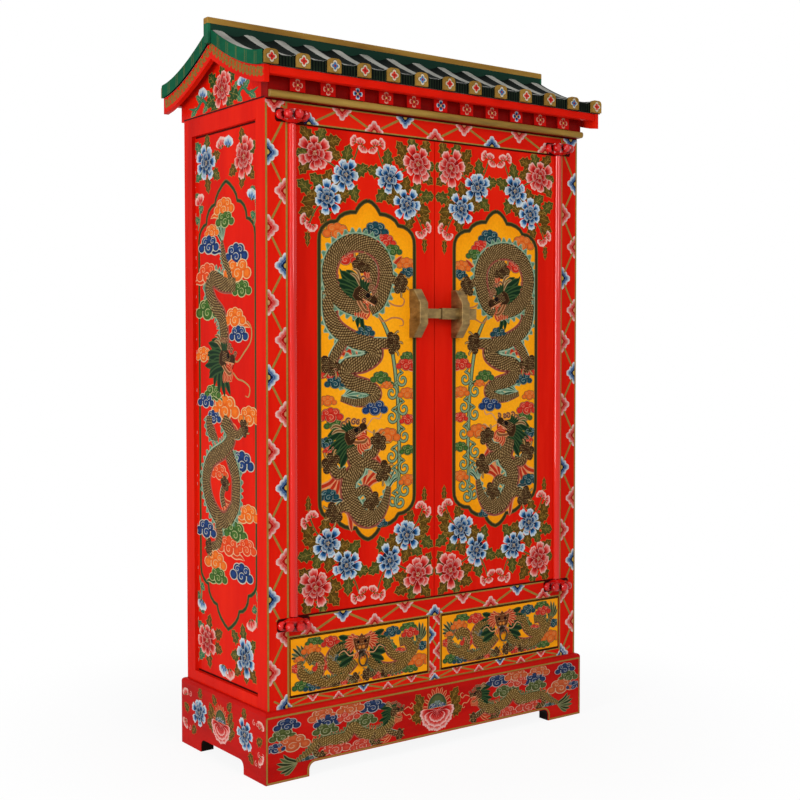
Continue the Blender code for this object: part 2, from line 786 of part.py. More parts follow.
cap_low = pan_z(cap_y) - TILE_THICKNESS + EDGE
cap_high = pan_z(cap_y) + ROLL_HEIGHT + EDGE
cap_arc = [math.pi / 6 * k for k in range(4)]
cap_half = [(CAP_WIDTH / 2, cap_low)]
for t in cap_arc:
    x = CAP_WIDTH / 2 - CAP_ROUNDING * (1.0 - math.cos(t))
    cap_half.append((x, cap_high - CAP_ROUNDING * (1.0 - math.sin(t))))
cap_outline = cap_half + [(-x, z) for x, z in reversed(cap_half)]

for label, sy in (("front", -1), ("back", 1)):
    rings = []
    for y in slope_ys:
        upper = [(x, sy * y, pan_z(y) + lift) for x, lift in columns]
        lower = [(x, sy * y, pan_z(y) - TILE_THICKNESS) for x, _ in reversed(columns)]
        rings.append(upper + lower)
    obj = piece(f"{label}_roof_tiles", loft(rings), SLATE, 0.45)
    spans = sorted((sy * (cap_y - CAP_THICKNESS / 2), sy * eaves_y))
    caps = [prism([(x + centre, z) for x, z in cap_outline], "Y", *spans) for centre in roll_xs]
    combine(obj, joined(caps), "UNION", "caps")

gable_y = half_depth - BACK_RECESS + FIT
gable = [(-gable_y, top_z + FIT), (gable_y, top_z + FIT), (gable_y, under_z(gable_y) - FIT)]
crown = [(y, under_z(y) - FIT) for y in slope_ys if y < gable_y]
gable += list(reversed(crown)) + [(-y, z) for y, z in crown]
gable.append((-gable_y, under_z(gable_y) - FIT))

barge_low_foot = top_z + BARGE_FOOT_RISE
barge_low_apex = top_z + BARGE_APEX_RISE
barge_ys = [y for y in slope_ys if y < fascia_y] + [fascia_y]


def barge_edge(y):
    share = max(0.0, 1.0 - abs(y) / fascia_y)
    return barge_low_foot + (barge_low_apex - barge_low_foot) * share**BARGE_CURVE


barge_high = [(y, under_z(y) - FIT) for y in barge_ys]
barge_low = [(y, barge_edge(y)) for y in barge_ys]
barge = [(-y, z) for y, z in reversed(barge_high)] + barge_high
barge += list(reversed(barge_low)) + [(0.0, barge_edge(0.0))] + [(-y, z) for y, z in barge_low]
barge_outer = tile_x - BARGE_SETBACK
barge_inner = barge_outer - BARGE_THICKNESS
for label, sx in (("left", -1), ("right", 1)):
    spans = sorted((sx * half_width, sx * (half_width - GABLE_THICKNESS)))
    piece(f"{label}_gable_panel", prism(gable, "X", *spans), RED)
    spans = sorted((sx * barge_inner, sx * barge_outer))
    piece(f"{label}_bargeboard", prism(barge, "X", *spans), RED)

fascia_top = pan_z(cap_y) - TILE_THICKNESS - FIT
fascia_low = fascia_top - FASCIA_HEIGHT
soffit_low = fascia_top - SOFFIT_THICKNESS
fascia_back = fascia_y - FASCIA_THICKNESS
frieze_y = half_depth + FRIEZE_PROJECTION
frieze_back = frieze_y - FRIEZE_THICKNESS
board_x = barge_inner - FIT

fascia = [
    (-fascia_y, fascia_low),
    (-fascia_back, fascia_low),
    (-fascia_back, soffit_low),
    (-frieze_y - FIT, soffit_low),
    (-frieze_y - FIT, fascia_top),
    (-fascia_y, fascia_top),
]
soften(piece("front_fascia", prism(fascia, "X", -board_x, board_x), RED))

frieze = block((-half_width, half_width), (-frieze_y, -frieze_back), (top_z + FIT, fascia_top))
obj = piece("dentil_frieze", frieze, RED)
dentil_low = soffit_low - FIT - DENTIL_HEIGHT
teeth = [(-half_width + EDGE, -frieze_y + EDGE), (-half_width + EDGE, -frieze_y - EDGE)]
for i in range(DENTIL_COUNT):
    centre = (i - (DENTIL_COUNT - 1) / 2) * DENTIL_PITCH
    for x, y in ((-1, EDGE), (-1, DENTIL_DEPTH), (1, DENTIL_DEPTH), (1, EDGE)):
        teeth.append((centre + x * DENTIL_WIDTH / 2, -frieze_y - y))
teeth += [(half_width - EDGE, -frieze_y - EDGE), (half_width - EDGE, -frieze_y + EDGE)]
combine(obj, prism(teeth, "Z", dentil_low, soffit_low - FIT), "UNION", "dentils")

cornice_low = top_z + FIT
cornice_back = -frieze_y - FIT
cornice_front = -frieze_y - CORNICE_DEPTH
cornice = [(cornice_back, cornice_low)]
for i in range(7):
    t = -math.pi / 2 + math.pi * i / 6
    bulge = CORNICE_HEIGHT / 2
    cornice.append(
        (cornice_front + CORNICE_STEP * (1 - math.cos(t)), cornice_low + bulge + bulge * math.sin(t))
    )
cornice.append((cornice_back, cornice_low + CORNICE_HEIGHT))
piece("cornice_moulding", prism(cornice, "X", -half_width + EDGE, half_width - EDGE), GOLD, 0.4)

back_eaves = [(-y, z) for y, z in fascia]
back_eaves[3:5] = [(frieze_y - EDGE, soffit_low), (frieze_y - EDGE, fascia_top)]
obj = piece("back_eaves_board", prism(back_eaves, "X", -board_x, board_x), RED)
backing = block((-half_width, half_width), (frieze_back, frieze_y), (top_z + FIT, fascia_top))
combine(obj, backing, "UNION", "frieze")
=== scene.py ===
import math

import bmesh
import bpy
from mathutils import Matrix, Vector


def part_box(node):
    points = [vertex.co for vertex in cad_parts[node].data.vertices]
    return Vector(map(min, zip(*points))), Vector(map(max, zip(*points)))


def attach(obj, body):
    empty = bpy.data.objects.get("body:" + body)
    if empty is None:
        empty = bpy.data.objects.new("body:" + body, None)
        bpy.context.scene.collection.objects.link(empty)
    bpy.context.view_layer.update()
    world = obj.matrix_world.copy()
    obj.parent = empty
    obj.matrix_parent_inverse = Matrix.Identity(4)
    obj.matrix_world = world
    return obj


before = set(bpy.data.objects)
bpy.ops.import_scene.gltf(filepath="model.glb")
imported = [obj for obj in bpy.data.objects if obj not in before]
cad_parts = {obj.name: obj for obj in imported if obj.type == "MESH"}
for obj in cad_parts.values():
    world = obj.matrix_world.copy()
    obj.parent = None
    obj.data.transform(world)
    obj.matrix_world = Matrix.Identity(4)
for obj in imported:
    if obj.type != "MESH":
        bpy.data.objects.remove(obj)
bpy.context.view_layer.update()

# Inside boards: top, bottom, shelf, drawer deck and the drawer boxes are plain softwood planks.
# They are planed, left unpainted and have darkened with age, with the grain along their length.


def tone(red, green, blue):
    """A colour as the eye sees it on the piece, 0 to 255, as light values."""
    parts = []
    for part in (red, green, blue):
        share = part / 255
        parts.append(share / 12.92 if share <= 0.04045 else ((share + 0.055) / 1.055) ** 2.4)
    return tuple(parts)


def add(tree, kind, **values):
    """One more node in the wiring of a finish, with the values that its sockets hold."""
    node = tree.nodes.new("ShaderNode" + kind)
    for socket, value in values.items():
        node.inputs[socket.replace("_", " ")].default_value = value
    return node


def bare_look(name):
    """A new finish with nothing set yet, with its wiring and its shader."""
    look = bpy.data.materials.new(name)
    look.use_nodes = True
    return look, look.node_tree, look.node_tree.nodes["Principled BSDF"]


def roughen(tree, marks, rough, bump, deep, least=0.0, most=1.0):
    """Uneven gloss and a fine raised texture, both after the same marks."""
    shader = tree.nodes["Principled BSDF"]
    gloss = add(tree, "MapRange", From_Min=least, From_Max=most, To_Min=rough[0], To_Max=rough[1])
    tree.links.new(marks.outputs[0], gloss.inputs["Value"])
    tree.links.new(gloss.outputs["Result"], shader.inputs["Roughness"])
    relief = add(tree, "Bump", Strength=bump, Distance=deep)
    tree.links.new(marks.outputs[0], relief.inputs["Height"])
    tree.links.new(relief.outputs["Normal"], shader.inputs["Normal"])


def finish(name, tones, grain, rough, bump, metal=0.0, coat=0.0, shine=0.5):
    """Surface with tones that drift along its grain, uneven gloss and a fine raised texture."""
    look, tree, shader = bare_look(name)
    shader.inputs["Metallic"].default_value = metal
    shader.inputs["Coat Weight"].default_value = coat
    shader.inputs["Coat Roughness"].default_value = 0.08
    shader.inputs["Specular IOR Level"].default_value = shine
    place = add(tree, "TexCoord")
    stretch = add(tree, "Mapping", Scale=grain)
    tree.links.new(place.outputs["Object"], stretch.inputs["Vector"])
    figure = add(tree, "TexNoise", Scale=1.0, Detail=7.0, Roughness=0.62)
    tree.links.new(stretch.outputs["Vector"], figure.inputs["Vector"])
    ramp = add(tree, "ValToRGB")
    ramp.name = "tones"
    stops = ramp.color_ramp.elements
    while len(stops) < len(tones):
        stops.new(0.5)
    for i, colour in enumerate(tones):
        stops[i].position = 0.3 + 0.4 * i / (len(tones) - 1)
        stops[i].color = (*colour, 1.0)
    tree.links.new(figure.outputs[0], ramp.inputs[0])
    tree.links.new(ramp.outputs["Color"], shader.inputs["Base Color"])
    roughen(tree, figure, rough, bump, 0.001, 0.3, 0.7)
    return look


def dress(look, *names):
    """Gives solids of the frame their finish."""
    for name in names:
        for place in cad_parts[name].material_slots:
            place.material = look


plank_tones = [tone(118, 76, 44), tone(150, 102, 62), tone(172, 124, 80)]
long_plank = finish("plank_grain_across", plank_tones, (2.0, 45.0, 45.0), (0.55, 0.75), 0.35)
deep_plank = finish("plank_grain_deep", plank_tones, (45.0, 2.0, 45.0), (0.55, 0.75), 0.35)
dress(long_plank, "case_top_board", "case_bottom_board", "shelf", "drawer_deck")
for hand in ("left", "right"):
    dress(long_plank, f"{hand}_drawer_back", f"{hand}_drawer_bottom")
    dress(deep_plank, f"{hand}_drawer_inner_side", f"{hand}_drawer_outer_side")

# Case frame: four corner posts, the side rails and the front rails, mortised together and
# coated with several layers of red lacquer, rubbed to a soft gloss that is worn a little along the grain.

lacquer_tones = [tone(194, 16, 5), tone(212, 24, 8), tone(222, 34, 12)]


def lacquer(name, grain, rough, bump, tones=lacquer_tones):
    """Lacquer rubbed down between its coats, so that hardly any light glances off it."""
    return finish(name, tones, grain, rough, bump, coat=0.02, shine=0.015)


upright_lacquer = lacquer("red_lacquer_upright", (9.0, 9.0, 1.6), (0.24, 0.36), 0.05)
level_lacquer = lacquer("red_lacquer_level", (1.6, 9.0, 9.0), (0.24, 0.36), 0.05)
for end in ("front", "back"):
    dress(upright_lacquer, f"corner_post_{end}_left", f"corner_post_{end}_right")
dress(level_lacquer, "front_top_rail", "front_middle_rail", "front_bottom_rail")
dress(upright_lacquer, "drawer_divider")
for hand in ("left", "right"):
    dress(upright_lacquer, f"{hand}_top_rail", f"{hand}_bottom_rail")

# Face frame painting: gilt lines along both edges of every stile and rail, with a gilt zigzag between
# them and half flowers, every third one blue, where it turns. It is brushed on over the red in thick paint.


class Coat:
    """Thick paint on one flat face: every stroke is a low mound, in distances across and up the face."""

    hair, most_hairs = 0.0000022, 90

    def __init__(self, origin, across, up, out):
        self.origin, self.out = Vector(origin), Vector(out)
        self.across, self.up = Vector(across), Vector(up)
        self.mirrored = self.across.cross(self.up).dot(self.out) < 0
        self.spots, self.faces, self.tints, self.strokes = [], [], [], 0
        self.limits = (-9.0, -9.0, 9.0, 9.0)

    def spot(self, u, v, lift, tint):
        """One point of the paint, kept within the limits of the face."""
        u = max(self.limits[0], min(self.limits[2], u))
        v = max(self.limits[1], min(self.limits[3], v))
        self.spots.append(self.origin + self.across * u + self.up * v + self.out * lift)
        self.tints.append(tint)
        return len(self.spots) - 1

    def face(self, corners):
        """One facet between points, turned to look away from the board."""
        self.faces.append(corners[::-1] if self.mirrored else corners)

    def next_lift(self):
        """A hair's breadth more for each stroke, up to the most, so that later paint lies on top."""
        self.strokes += 1
        return (self.strokes % self.most_hairs) * self.hair

    def mound(self, outline, layers, focus=None):
        """Nested copies of an outline, each with its share of the size, its colour and its lift."""
        turn = sum(a[0] * b[1] - b[0] * a[1] for a, b in zip(outline, outline[1:] + outline[:1]))
        if turn < 0:
            outline = outline[::-1]
        if focus is None:
            focus = [sum(p[k] for p in outline) / len(outline) for k in (0, 1)]
        x, y = focus
        more = self.next_lift()
        loops = [[self.spot(u, v, 0.0, layers[0][1]) for u, v in outline]]
        for share, tint, lift in layers:
            ring = [(x + (u - x) * share, y + (v - y) * share) for u, v in outline]
            loops.append([self.spot(u, v, lift + more, tint) for u, v in ring])
        for low, high in zip(loops, loops[1:]):
            for i in range(len(low)):
                j = (i + 1) % len(low)
                self.face((low[i], low[j], high[j], high[i]))
        self.face(tuple(loops[-1]))

    def band(self, rows):
        """Strip of painted rows, each running from the right of the stroke to its left."""
        for low, high in zip(rows, rows[1:]):
            for i in range(len(low) - 1):
                self.face((low[i], high[i], high[i + 1], low[i + 1]))

    def dry(self, name, look, body):
        """The finished painting as a piece that rides with its board."""
        mesh = bpy.data.meshes.new(name)
        mesh.from_pydata(self.spots, [], self.faces)
        colours = mesh.color_attributes.new("paint", "FLOAT_COLOR", "POINT")
        colours.data.foreach_set("color", [part for tint in self.tints for part in (*tint, 1.0)])
        mesh.materials.append(look)
        flat_spots = bmesh.new()
        flat_spots.from_mesh(mesh)
        bmesh.ops.dissolve_degenerate(flat_spots, dist=1e-7, edges=flat_spots.edges)
        flat_spots.to_mesh(mesh)
        flat_spots.free()
        mesh.update()
        piece = bpy.data.objects.new(name, mesh)
        bpy.context.scene.collection.objects.link(piece)
        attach(piece, body)


def front_coat(node, middle=0.0, way=1):
    """Coat on the front of a solid, measured from a middle line to the right, or to the left."""
    front = round(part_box(node)[0].y, 4)
    return Coat((middle, front, 0), (way, 0, 0), (0, 0, 1), (0, -1, 0))


def painted_finish(name, rough, patch):
    """Brush paint: the colour of each stroke, with lighter and darker patches and brush marks."""
    look, tree, shader = bare_look(name)
    shader.inputs["Specular IOR Level"].default_value = 0.03
    hue = add(tree, "Attribute")
    hue.attribute_name = "paint"
    place = add(tree, "TexCoord")
    marks = add(tree, "TexNoise", Scale=140.0, Detail=5.0)
    tree.links.new(place.outputs["Object"], marks.inputs["Vector"])
    worn = add(tree, "ValToRGB")
    for stop, share, level in zip(worn.color_ramp.elements, (0.28, 0.7), (1 - patch, 1.0)):
        stop.position, stop.color = share, (level, level, level, 1.0)
    tree.links.new(marks.outputs[0], worn.inputs[0])
    blend = add(tree, "Mix")
    blend.data_type, blend.blend_type = "RGBA", "MULTIPLY"
    blend.inputs[0].default_value = 1.0
    tree.links.new(hue.outputs["Color"], blend.inputs[6])
    tree.links.new(worn.outputs["Color"], blend.inputs[7])
    tree.links.new(blend.outputs[2], shader.inputs["Base Color"])
    roughen(tree, marks, rough, 0.25, 0.0006)
    return look


def ahead(u, v, angle, reach, aside=0.0):
    """Spot at a reach from (u, v) towards an angle, and aside to the left of that way if asked."""
    across, up = math.cos(angle), math.sin(angle)
    return u + reach * across - aside * up, v + reach * up + aside * across


def curve(points, pitch):
    """Smooth line through the points, with a spot about every pitch."""
    ends = [points[0], *points, points[-1]]
    line = []
    for a, b, c, d in zip(ends, ends[1:], ends[2:], ends[3:]):
        steps = max(1, round(math.dist(b, c) / pitch))
        for i in range(steps):
            t = i / steps
            spot = []
            for p, q, r, s in zip(a, b, c, d):
                bend, twist = 2 * p - 5 * q + 4 * r - s, 3 * q - p - 3 * r + s
                spot.append(0.5 * (2 * q + (r - p) * t + bend * t * t + twist * t**3))
            line.append(tuple(spot))
    line.append(tuple(points[-1]))
    return line


def sides(line):
    """Direction to the left of a line at each of its spots."""
    lefts = []
    for i in range(len(line)):
        a, b = line[max(0, i - 1)], line[min(len(line) - 1, i + 1)]
        run = math.dist(a, b) or 1.0
        lefts.append((-(b[1] - a[1]) / run, (b[0] - a[0]) / run))
    return lefts


def stroke(coat, line, width, tint, lift, ends=(1.0, 1.0), rim=None):
    """One pull of the brush along a line, thinner towards its ends if asked, with an outline if asked."""
    lift += coat.next_lift()
    rows = []
    for i, ((u, v), (a, b)) in enumerate(zip(line, sides(line))):
        t = i / (len(line) - 1)
        half = width / 2 * min(1.0, ends[0] + 4 * t, ends[1] + 4 * (1 - t))
        edge = rim or tint
        row = [(-1, 0.0, edge), (-1, lift, edge)]
        if rim:
            row += [(-0.62, lift, rim), (-0.5, lift, tint), (0.5, lift, tint), (0.62, lift, rim)]
        row += [(1, lift, edge), (1, 0.0, edge)]
        rows.append([coat.spot(u + a * half * s, v + b * half * s, z, c) for s, z, c in row])
    coat.band(rows)


def zigzag(coat, turns, width, tint, lift):
    """Straight pulls of the brush from each turn to the next."""
    for a, b in zip(turns, turns[1:]):
        stroke(coat, [a, b], width, tint, lift)


def petal(coat, u, v, angle, length, width, hues, lift, frill=0.03, shares=(0.92, 0.82, 0.66, 0.4)):
    """Fan-shaped petal from its foot at (u, v) to a scalloped end; hues run from its rim to its foot."""
    spread = math.atan2(width / 2, 0.72 * length)
    outline = [(u, v)]
    for i in range(13):
        s = i / 6 - 1
        reach = length * (1 - frill + frill * math.cos(3 * math.pi * s) - 0.3 * s**4)
        outline.append(ahead(u, v, angle + spread * s, reach))
    rim, pale, middle, foot = hues
    layers = [(1.0, rim, lift), (shares[0], rim, lift + 0.00005), (shares[1], pale, lift + 0.00008)]
    layers += [(shares[2], middle, lift + 0.00008), (shares[3], foot, lift + 0.00003)]
    coat.mound(outline, layers, ahead(u, v, angle, 0.12 * length))


gilt_line = tone(154, 122, 56)
pink_hues = [tone(230, 184, 172), tone(218, 112, 104), tone(202, 42, 38), tone(142, 10, 12)]
blue_hues = [tone(210, 214, 214), tone(164, 188, 204), tone(28, 92, 150), tone(18, 30, 52)]
frame_pink = [tone(220, 182, 174), tone(214, 128, 120), tone(202, 44, 38), tone(160, 16, 14)]
frame_blue = [tone(204, 204, 204), tone(138, 158, 182), tone(34, 72, 124), tone(12, 24, 56)]


def half_flower(coat, u, v, angle, size, hues):
    """Half of a square flower that grows from a line: a scalloped chevron with a smaller one inside it."""
    rim, pale, middle, foot = hues
    outer, inner = (1.0, 0.0003, (rim, rim, pale, middle)), (0.5, 0.00042, (pale, middle, foot, foot))
    for scale, lift, tints in (outer, inner):
        outline = []
        for i in range(25):
            t = i / 12 - 1
            bulge = 1 + 0.16 * abs(math.sin(3 * math.pi * t))
            outline.append(ahead(u, v, angle, size * scale * (1 - abs(t)) * bulge, size * scale * t * bulge))
        shares = zip((1.0, 0.9, 0.76, 0.55), tints)
        layers = [(share, tint, lift + 0.00003 * k) for k, (share, tint) in enumerate(shares)]
        coat.mound(outline, layers, (u, v))
    ring = [ahead(u, v, angle + k * 0.39, size * 0.2) for k in range(-4, 5)]
    heart = tone(192, 152, 66) if hues is frame_blue else tone(190, 132, 88)
    coat.mound(ring, [(1.0, heart, 0.00078)])


frame_paint = painted_finish("frame_paint", (0.3, 0.5), 0.24)
face_frame = front_coat("front_top_rail")
face_frame.limits = (-0.5495, 0.1890, 0.5495, 1.7695)
edge_line, edge_lift = 0.0055, 0.00022
zigzag_line, zigzag_lift = 0.0062, 0.0002
stile_foot, stile_top, first_turn, turn_pitch = 0.190, 1.768, 1.729, 0.096
stile_outer, stile_inner, outer_turn, inner_turn = 0.5468, 0.4862, 0.544, 0.489
stile_flower, divider_flower = 0.033, 0.024
for hand in (-1, 1):
    for x in (stile_outer, stile_inner):
        stroke(face_frame, [(hand * x, stile_foot), (hand * x, stile_top)], edge_line, gilt_line, edge_lift)
    turns = [(hand * (outer_turn if n % 2 else inner_turn), first_turn - turn_pitch * n) for n in range(17)]
    zigzag(face_frame, turns, zigzag_line, gilt_line, zigzag_lift)
    for n, (x, z) in enumerate(turns):
        hues = frame_blue if n % 3 == 1 else frame_pink
        inward = n % 2 == (1 if hand > 0 else 0)
        under_block = 0.40 < z < 0.42 or z > 1.70
        if not under_block:
            half_flower(face_frame, x, z, math.pi if inward else 0.0, stile_flower, hues)
rail_half, last_turn, flower_reach, slim_rail, rail_lift = 0.4845, 0.53, 0.5, 0.8, 0.00024
for low, high, pitch, blue, size in (
    (1.7155, 1.7665, 0.1045, 2, 0.030),
    (0.3755, 0.4248, 0.1045, 0, 0.029),
    (0.1910, 0.2132, 0.0820, 0, 0.0175),
):
    slim = slim_rail if size < 0.02 else 1.0
    for z in (low, high):
        stroke(face_frame, [(-rail_half, z), (rail_half, z)], edge_line * slim, gilt_line, rail_lift)
    count = int(flower_reach / pitch) + 1
    turns = []
    for k in range(-count, count + 1):
        turns.append((max(-last_turn, min(last_turn, k * pitch)), high if k % 2 else low))
    zigzag(face_frame, turns, zigzag_line * slim, gilt_line, zigzag_lift)
    for k, (x, z) in enumerate(turns, -count):
        if abs(x) < flower_reach or z > 1:
            turn = -math.pi / 2 if k % 2 else math.pi / 2
            half_flower(face_frame, x, z, turn, size, frame_blue if k % 3 == blue else frame_pink)
divider_edge, divider_turn, divider_foot, divider_top = 0.0205, 0.019, 0.216, 0.372
divider_first, divider_pitch, divider_line, divider_zigzag = 0.222, 0.049, 0.004, 0.005
for x in (-divider_edge, divider_edge):
    stroke(face_frame, [(x, divider_foot), (x, divider_top)], divider_line, gilt_line, edge_lift)
divider_turns = []
for k in range(4):
    divider_turns.append((divider_turn if k % 2 else -divider_turn, divider_first + divider_pitch * k))
zigzag(face_frame, divider_turns, divider_zigzag, gilt_line, zigzag_lift)
for k, (x, z) in enumerate(divider_turns):
    hues = frame_blue if k == 2 else frame_pink
    half_flower(face_frame, x, z, math.pi if k % 2 else 0.0, divider_flower, hues)
# Painted shade: near black lines along the gaps round the doors and drawers and under the cornice.
gap_shade, gap_shade_width, gap_shade_lift = tone(26, 6, 4), 0.0026, 0.00046
joint_end, top_half, top_joint = 0.4815, 0.5485, 1.7682
for z, near in ((1.7132, 0.0), (0.4273, 0.0), (0.3729, 0.0235), (0.2151, 0.0235)):
    for hand in (-1, 1):
        stroke(face_frame, [(hand * near, z), (hand * joint_end, z)], gap_shade_width, gap_shade, gap_shade_lift)
stroke(face_frame, [(-top_half, top_joint), (top_half, top_joint)], gap_shade_width, gap_shade, gap_shade_lift)
# Painted shade: a dark halo on the face frame round each beaded pivot block.
painted_shade_lift, block_near, block_far, bevel = 0.00052, 0.4194, 0.5206, 0.006
block_shade_tones = (tone(104, 10, 6), tone(52, 8, 6), gap_shade)
block_shade = [(share, tint, painted_shade_lift) for share, tint in zip((1.0, 0.94, 0.5), block_shade_tones)]
for low, high in ((1.7132, 1.7484), (0.3922, 0.4272)):
    block = [(0.424, low), (0.516, low), (block_far, low + bevel), (block_far, high - bevel)]
    block += [(0.516, high), (0.424, high), (block_near, high - bevel), (block_near, low + bevel)]
    for hand in (-1, 1):
        face_frame.mound([(hand * x, z) for x, z in block], block_shade)
face_frame.dry("face_frame_painting", frame_paint, "case")

# Side panels: boards set in the grooves of the side frames, lacquered red. A pointed dark green cartouche
# holds one long dragon among clouds, and peonies with leaves and buds fill the corners outside it.

panel_lacquer = lacquer("side_panel_lacquer", (7.0, 7.0, 1.2), (0.26, 0.4), 0.06)
dress(panel_lacquer, "left_side_panel", "right_side_panel")


def side_coat(node, side):
    """Coat on the outer side of a solid, measured from the middle of the case's depth to the front."""
    low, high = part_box(node)
    out = round(max(-low.x, high.x), 4)
    return Coat((side * out, 0, 0), (0, -1, 0), (0, 0, 1), (side, 0, 0))


def leaf(coat, u, v, angle, length, width, hues):
    """Lobed leaf from its stalk end, with a gilt edge and veins; hues are its edge, blade and middle."""
    lift = 0.00022
    half = [(0.0, 0.03), (0.14, 0.16), (0.08, 0.44), (0.30, 0.34)]
    half += [(0.42, 0.54), (0.58, 0.3), (0.74, 0.36), (0.86, 0.14)]
    whole = half + [(1.0, 0.0)] + [(x, -y) for x, y in reversed(half)]
    edge, blade, middle = hues
    focus = ahead(u, v, angle, 0.5 * length)
    layers = [(1.0, edge, lift), (0.945, edge, lift), (0.9, blade, lift), (0.3, middle, lift + 0.00003)]
    coat.mound([ahead(u, v, angle, x * length, y * width) for x, y in whole], layers, focus)
    stroke(coat, [(u, v), focus, ahead(u, v, angle, 0.86 * length)], 0.0011, edge, lift + 0.0001)
    for reach, turn in ((0.34, 0.75), (0.34, -0.75), (0.58, 0.7), (0.58, -0.7)):
        fork = ahead(u, v, angle, reach * length)
        stroke(coat, [fork, ahead(*fork, angle + turn, 0.3 * width)], 0.0009, edge, lift + 0.0001)


olive_leaf = [tone(160, 122, 50), tone(74, 50, 14), tone(98, 72, 22)]
green_leaf = [tone(150, 126, 56), tone(58, 60, 20), tone(84, 84, 34)]
teal_leaf = [tone(146, 156, 104), tone(30, 92, 64), tone(52, 116, 80)]


def peony(coat, u, v, size, hues, spin):
    """Loose flower: pale-tipped petals that stand apart, smaller deep ones, a dark heart and pale stamens."""
    bed = [ahead(u, v, 0.3927 * k, 0.62 * size) for k in range(16)]
    coat.mound(bed, [(1.0, hues[3], 0.00034)])
    rings = (
        (7, 0.30, 0.72, 0.70, 0.00048, 0.0),
        (5, 0.12, 0.56, 0.62, 0.00058, 0.32),
        (4, 0.0, 0.40, 0.46, 0.00068, 0.55),
    )
    for ring, (count, start, length, width, lift, deep) in enumerate(rings):
        tints = [tuple(c + (low - c) * deep for c, low in zip(hue, hues[3])) for hue in hues]
        for i in range(count):
            sway = 0.17 * math.sin(7.3 * i + 2.1 * ring + spin * 5)
            angle = spin + 2 * math.pi * (i + 0.5 * (ring % 2)) / count + sway
            long = size * length * (1 + 0.17 * math.sin(4.7 * i + ring + spin * 3))
            foot = ahead(u, v, angle, start * size)
            petal(coat, *foot, angle, long, size * width, tints, lift, 0.045, (0.95, 0.78, 0.58, 0.3))
    for i in range(9):
        angle = 2.4 * i + spin
        far = (0.14 + 0.05 * math.sin(3.1 * i)) * size
        ray = [ahead(u, v, angle, 0.05 * size), ahead(u, v, angle, far)]
        stroke(coat, ray, 0.0011, tone(206, 178, 136), 0.00092)


def dot(coat, u, v, radius, tint, lift, count=7):
    """Round dab of paint, a little higher in its middle."""
    ring = [ahead(u, v, 2 * math.pi * i / count, radius) for i in range(count)]
    coat.mound(ring, [(1.0, tint, lift), (0.5, tint, lift + radius * 0.12)])


def bud(coat, u, v, angle, size, hues):
    """Small round blossom of three pale petals in its green cup."""
    shell = [hues[0], hues[0], hues[1], hues[2]]
    for turn in (-0.75, 0.75, 0.0):
        petal(coat, u, v, angle + turn, size, size * 0.75, shell, 0.00036)
    for turn in (-1.0, 1.0):
        petal(coat, u, v, angle + turn, size * 0.4, size * 0.24, [*green_leaf, green_leaf[1]], 0.00044)


def swirl(u, v, radius, turns, start, hand, count):
    """Points of a spiral from its rim to its middle."""
    points = []
    for i in range(count):
        t = i / (count - 1)
        points.append(ahead(u, v, start + hand * 2 * math.pi * turns * t, radius * (1 - 0.86 * t)))
    return points


cloud_hues = {
    "orange": (tone(218, 180, 128), tone(220, 88, 20), tone(232, 116, 34)),
    "red": (tone(222, 164, 124), tone(212, 54, 18), tone(224, 78, 32)),
    "blue": (tone(186, 184, 168), tone(16, 36, 80), tone(30, 62, 116)),
    "green": (tone(172, 174, 118), tone(44, 78, 26), tone(70, 106, 42)),
    "teal": (tone(160, 174, 160), tone(18, 46, 54), tone(30, 70, 78)),
}


def cloud(coat, u, v, size, colour, hand, tail, lift, wide=1.3, palette=cloud_hues, edge=None):
    """Scrolled cloud: flat rounded lobes with pale edges, a curl in the large ones and a drifting tail."""
    rim, body, light = palette[colour]
    if tail:
        drift = [(0.1, -0.32), (0.55, -0.52), (1.0, -0.45), (1.35, -0.62)]
        line = curve([(u + hand * x * size * wide, v + y * size) for x, y in drift], size * 0.16)
        stroke(coat, line, size * 0.34, body, lift, (0.6, 0.0), rim)
    small_lobes = ((-0.68, -0.12, 0.34, False), (0.68, -0.14, 0.32, False))
    large_lobes = ((-0.34, 0.28, 0.38, True), (0.36, 0.26, 0.36, True), (0.0, -0.14, 0.46, True))
    for x, y, share, curled in (*small_lobes, *large_lobes, (0.02, 0.44, 0.3, False)):
        a, b, radius = u + hand * x * size * wide, v + y * size, share * size
        angles = [2 * math.pi * i / 14 for i in range(14)]
        ring = [(a + radius * wide * math.cos(t), b + radius * math.sin(t)) for t in angles]
        layers = [(1.0, edge or rim, lift), (0.93, edge or rim, lift), (0.9, rim, lift), (0.86, rim, lift)]
        coat.mound(ring, layers + [(0.82, body, lift), (0.3, light, lift + 0.00008)])
        if curled:
            turn = math.pi * (0.2 if hand > 0 else 0.8)
            curl = [(a + (x - a) * wide, y) for x, y in swirl(a, b, radius * 0.62, 1.1, turn, hand, 14)]
            stroke(coat, curl, max(0.0012, radius * 0.11), rim, lift + 0.0003, (0.5, 0.3))


def cloud_bank(coat, places, scale, tailed, lift, wide, palette=cloud_hues, edge=None):
    """Clouds at places in millimetres, drifting left and right by turns, some of them with a tail."""
    for i, (u, v, size, colour) in enumerate(places):
        hand, tail = 1 if i % 2 else -1, tailed > 0 and i % tailed == 0
        cloud(coat, u / 1000, v / 1000, scale * size / 1000, colour, hand, tail, lift, wide, palette, edge)


scale_dark, scale_light = tone(54, 33, 15), tone(206, 170, 110)
scale_tones = (scale_dark, scale_light)
belly_rim, belly_pink = tone(170, 118, 92), tone(140, 66, 56)
bright_fins = (tone(40, 66, 46), tone(158, 178, 148), tone(84, 124, 98))


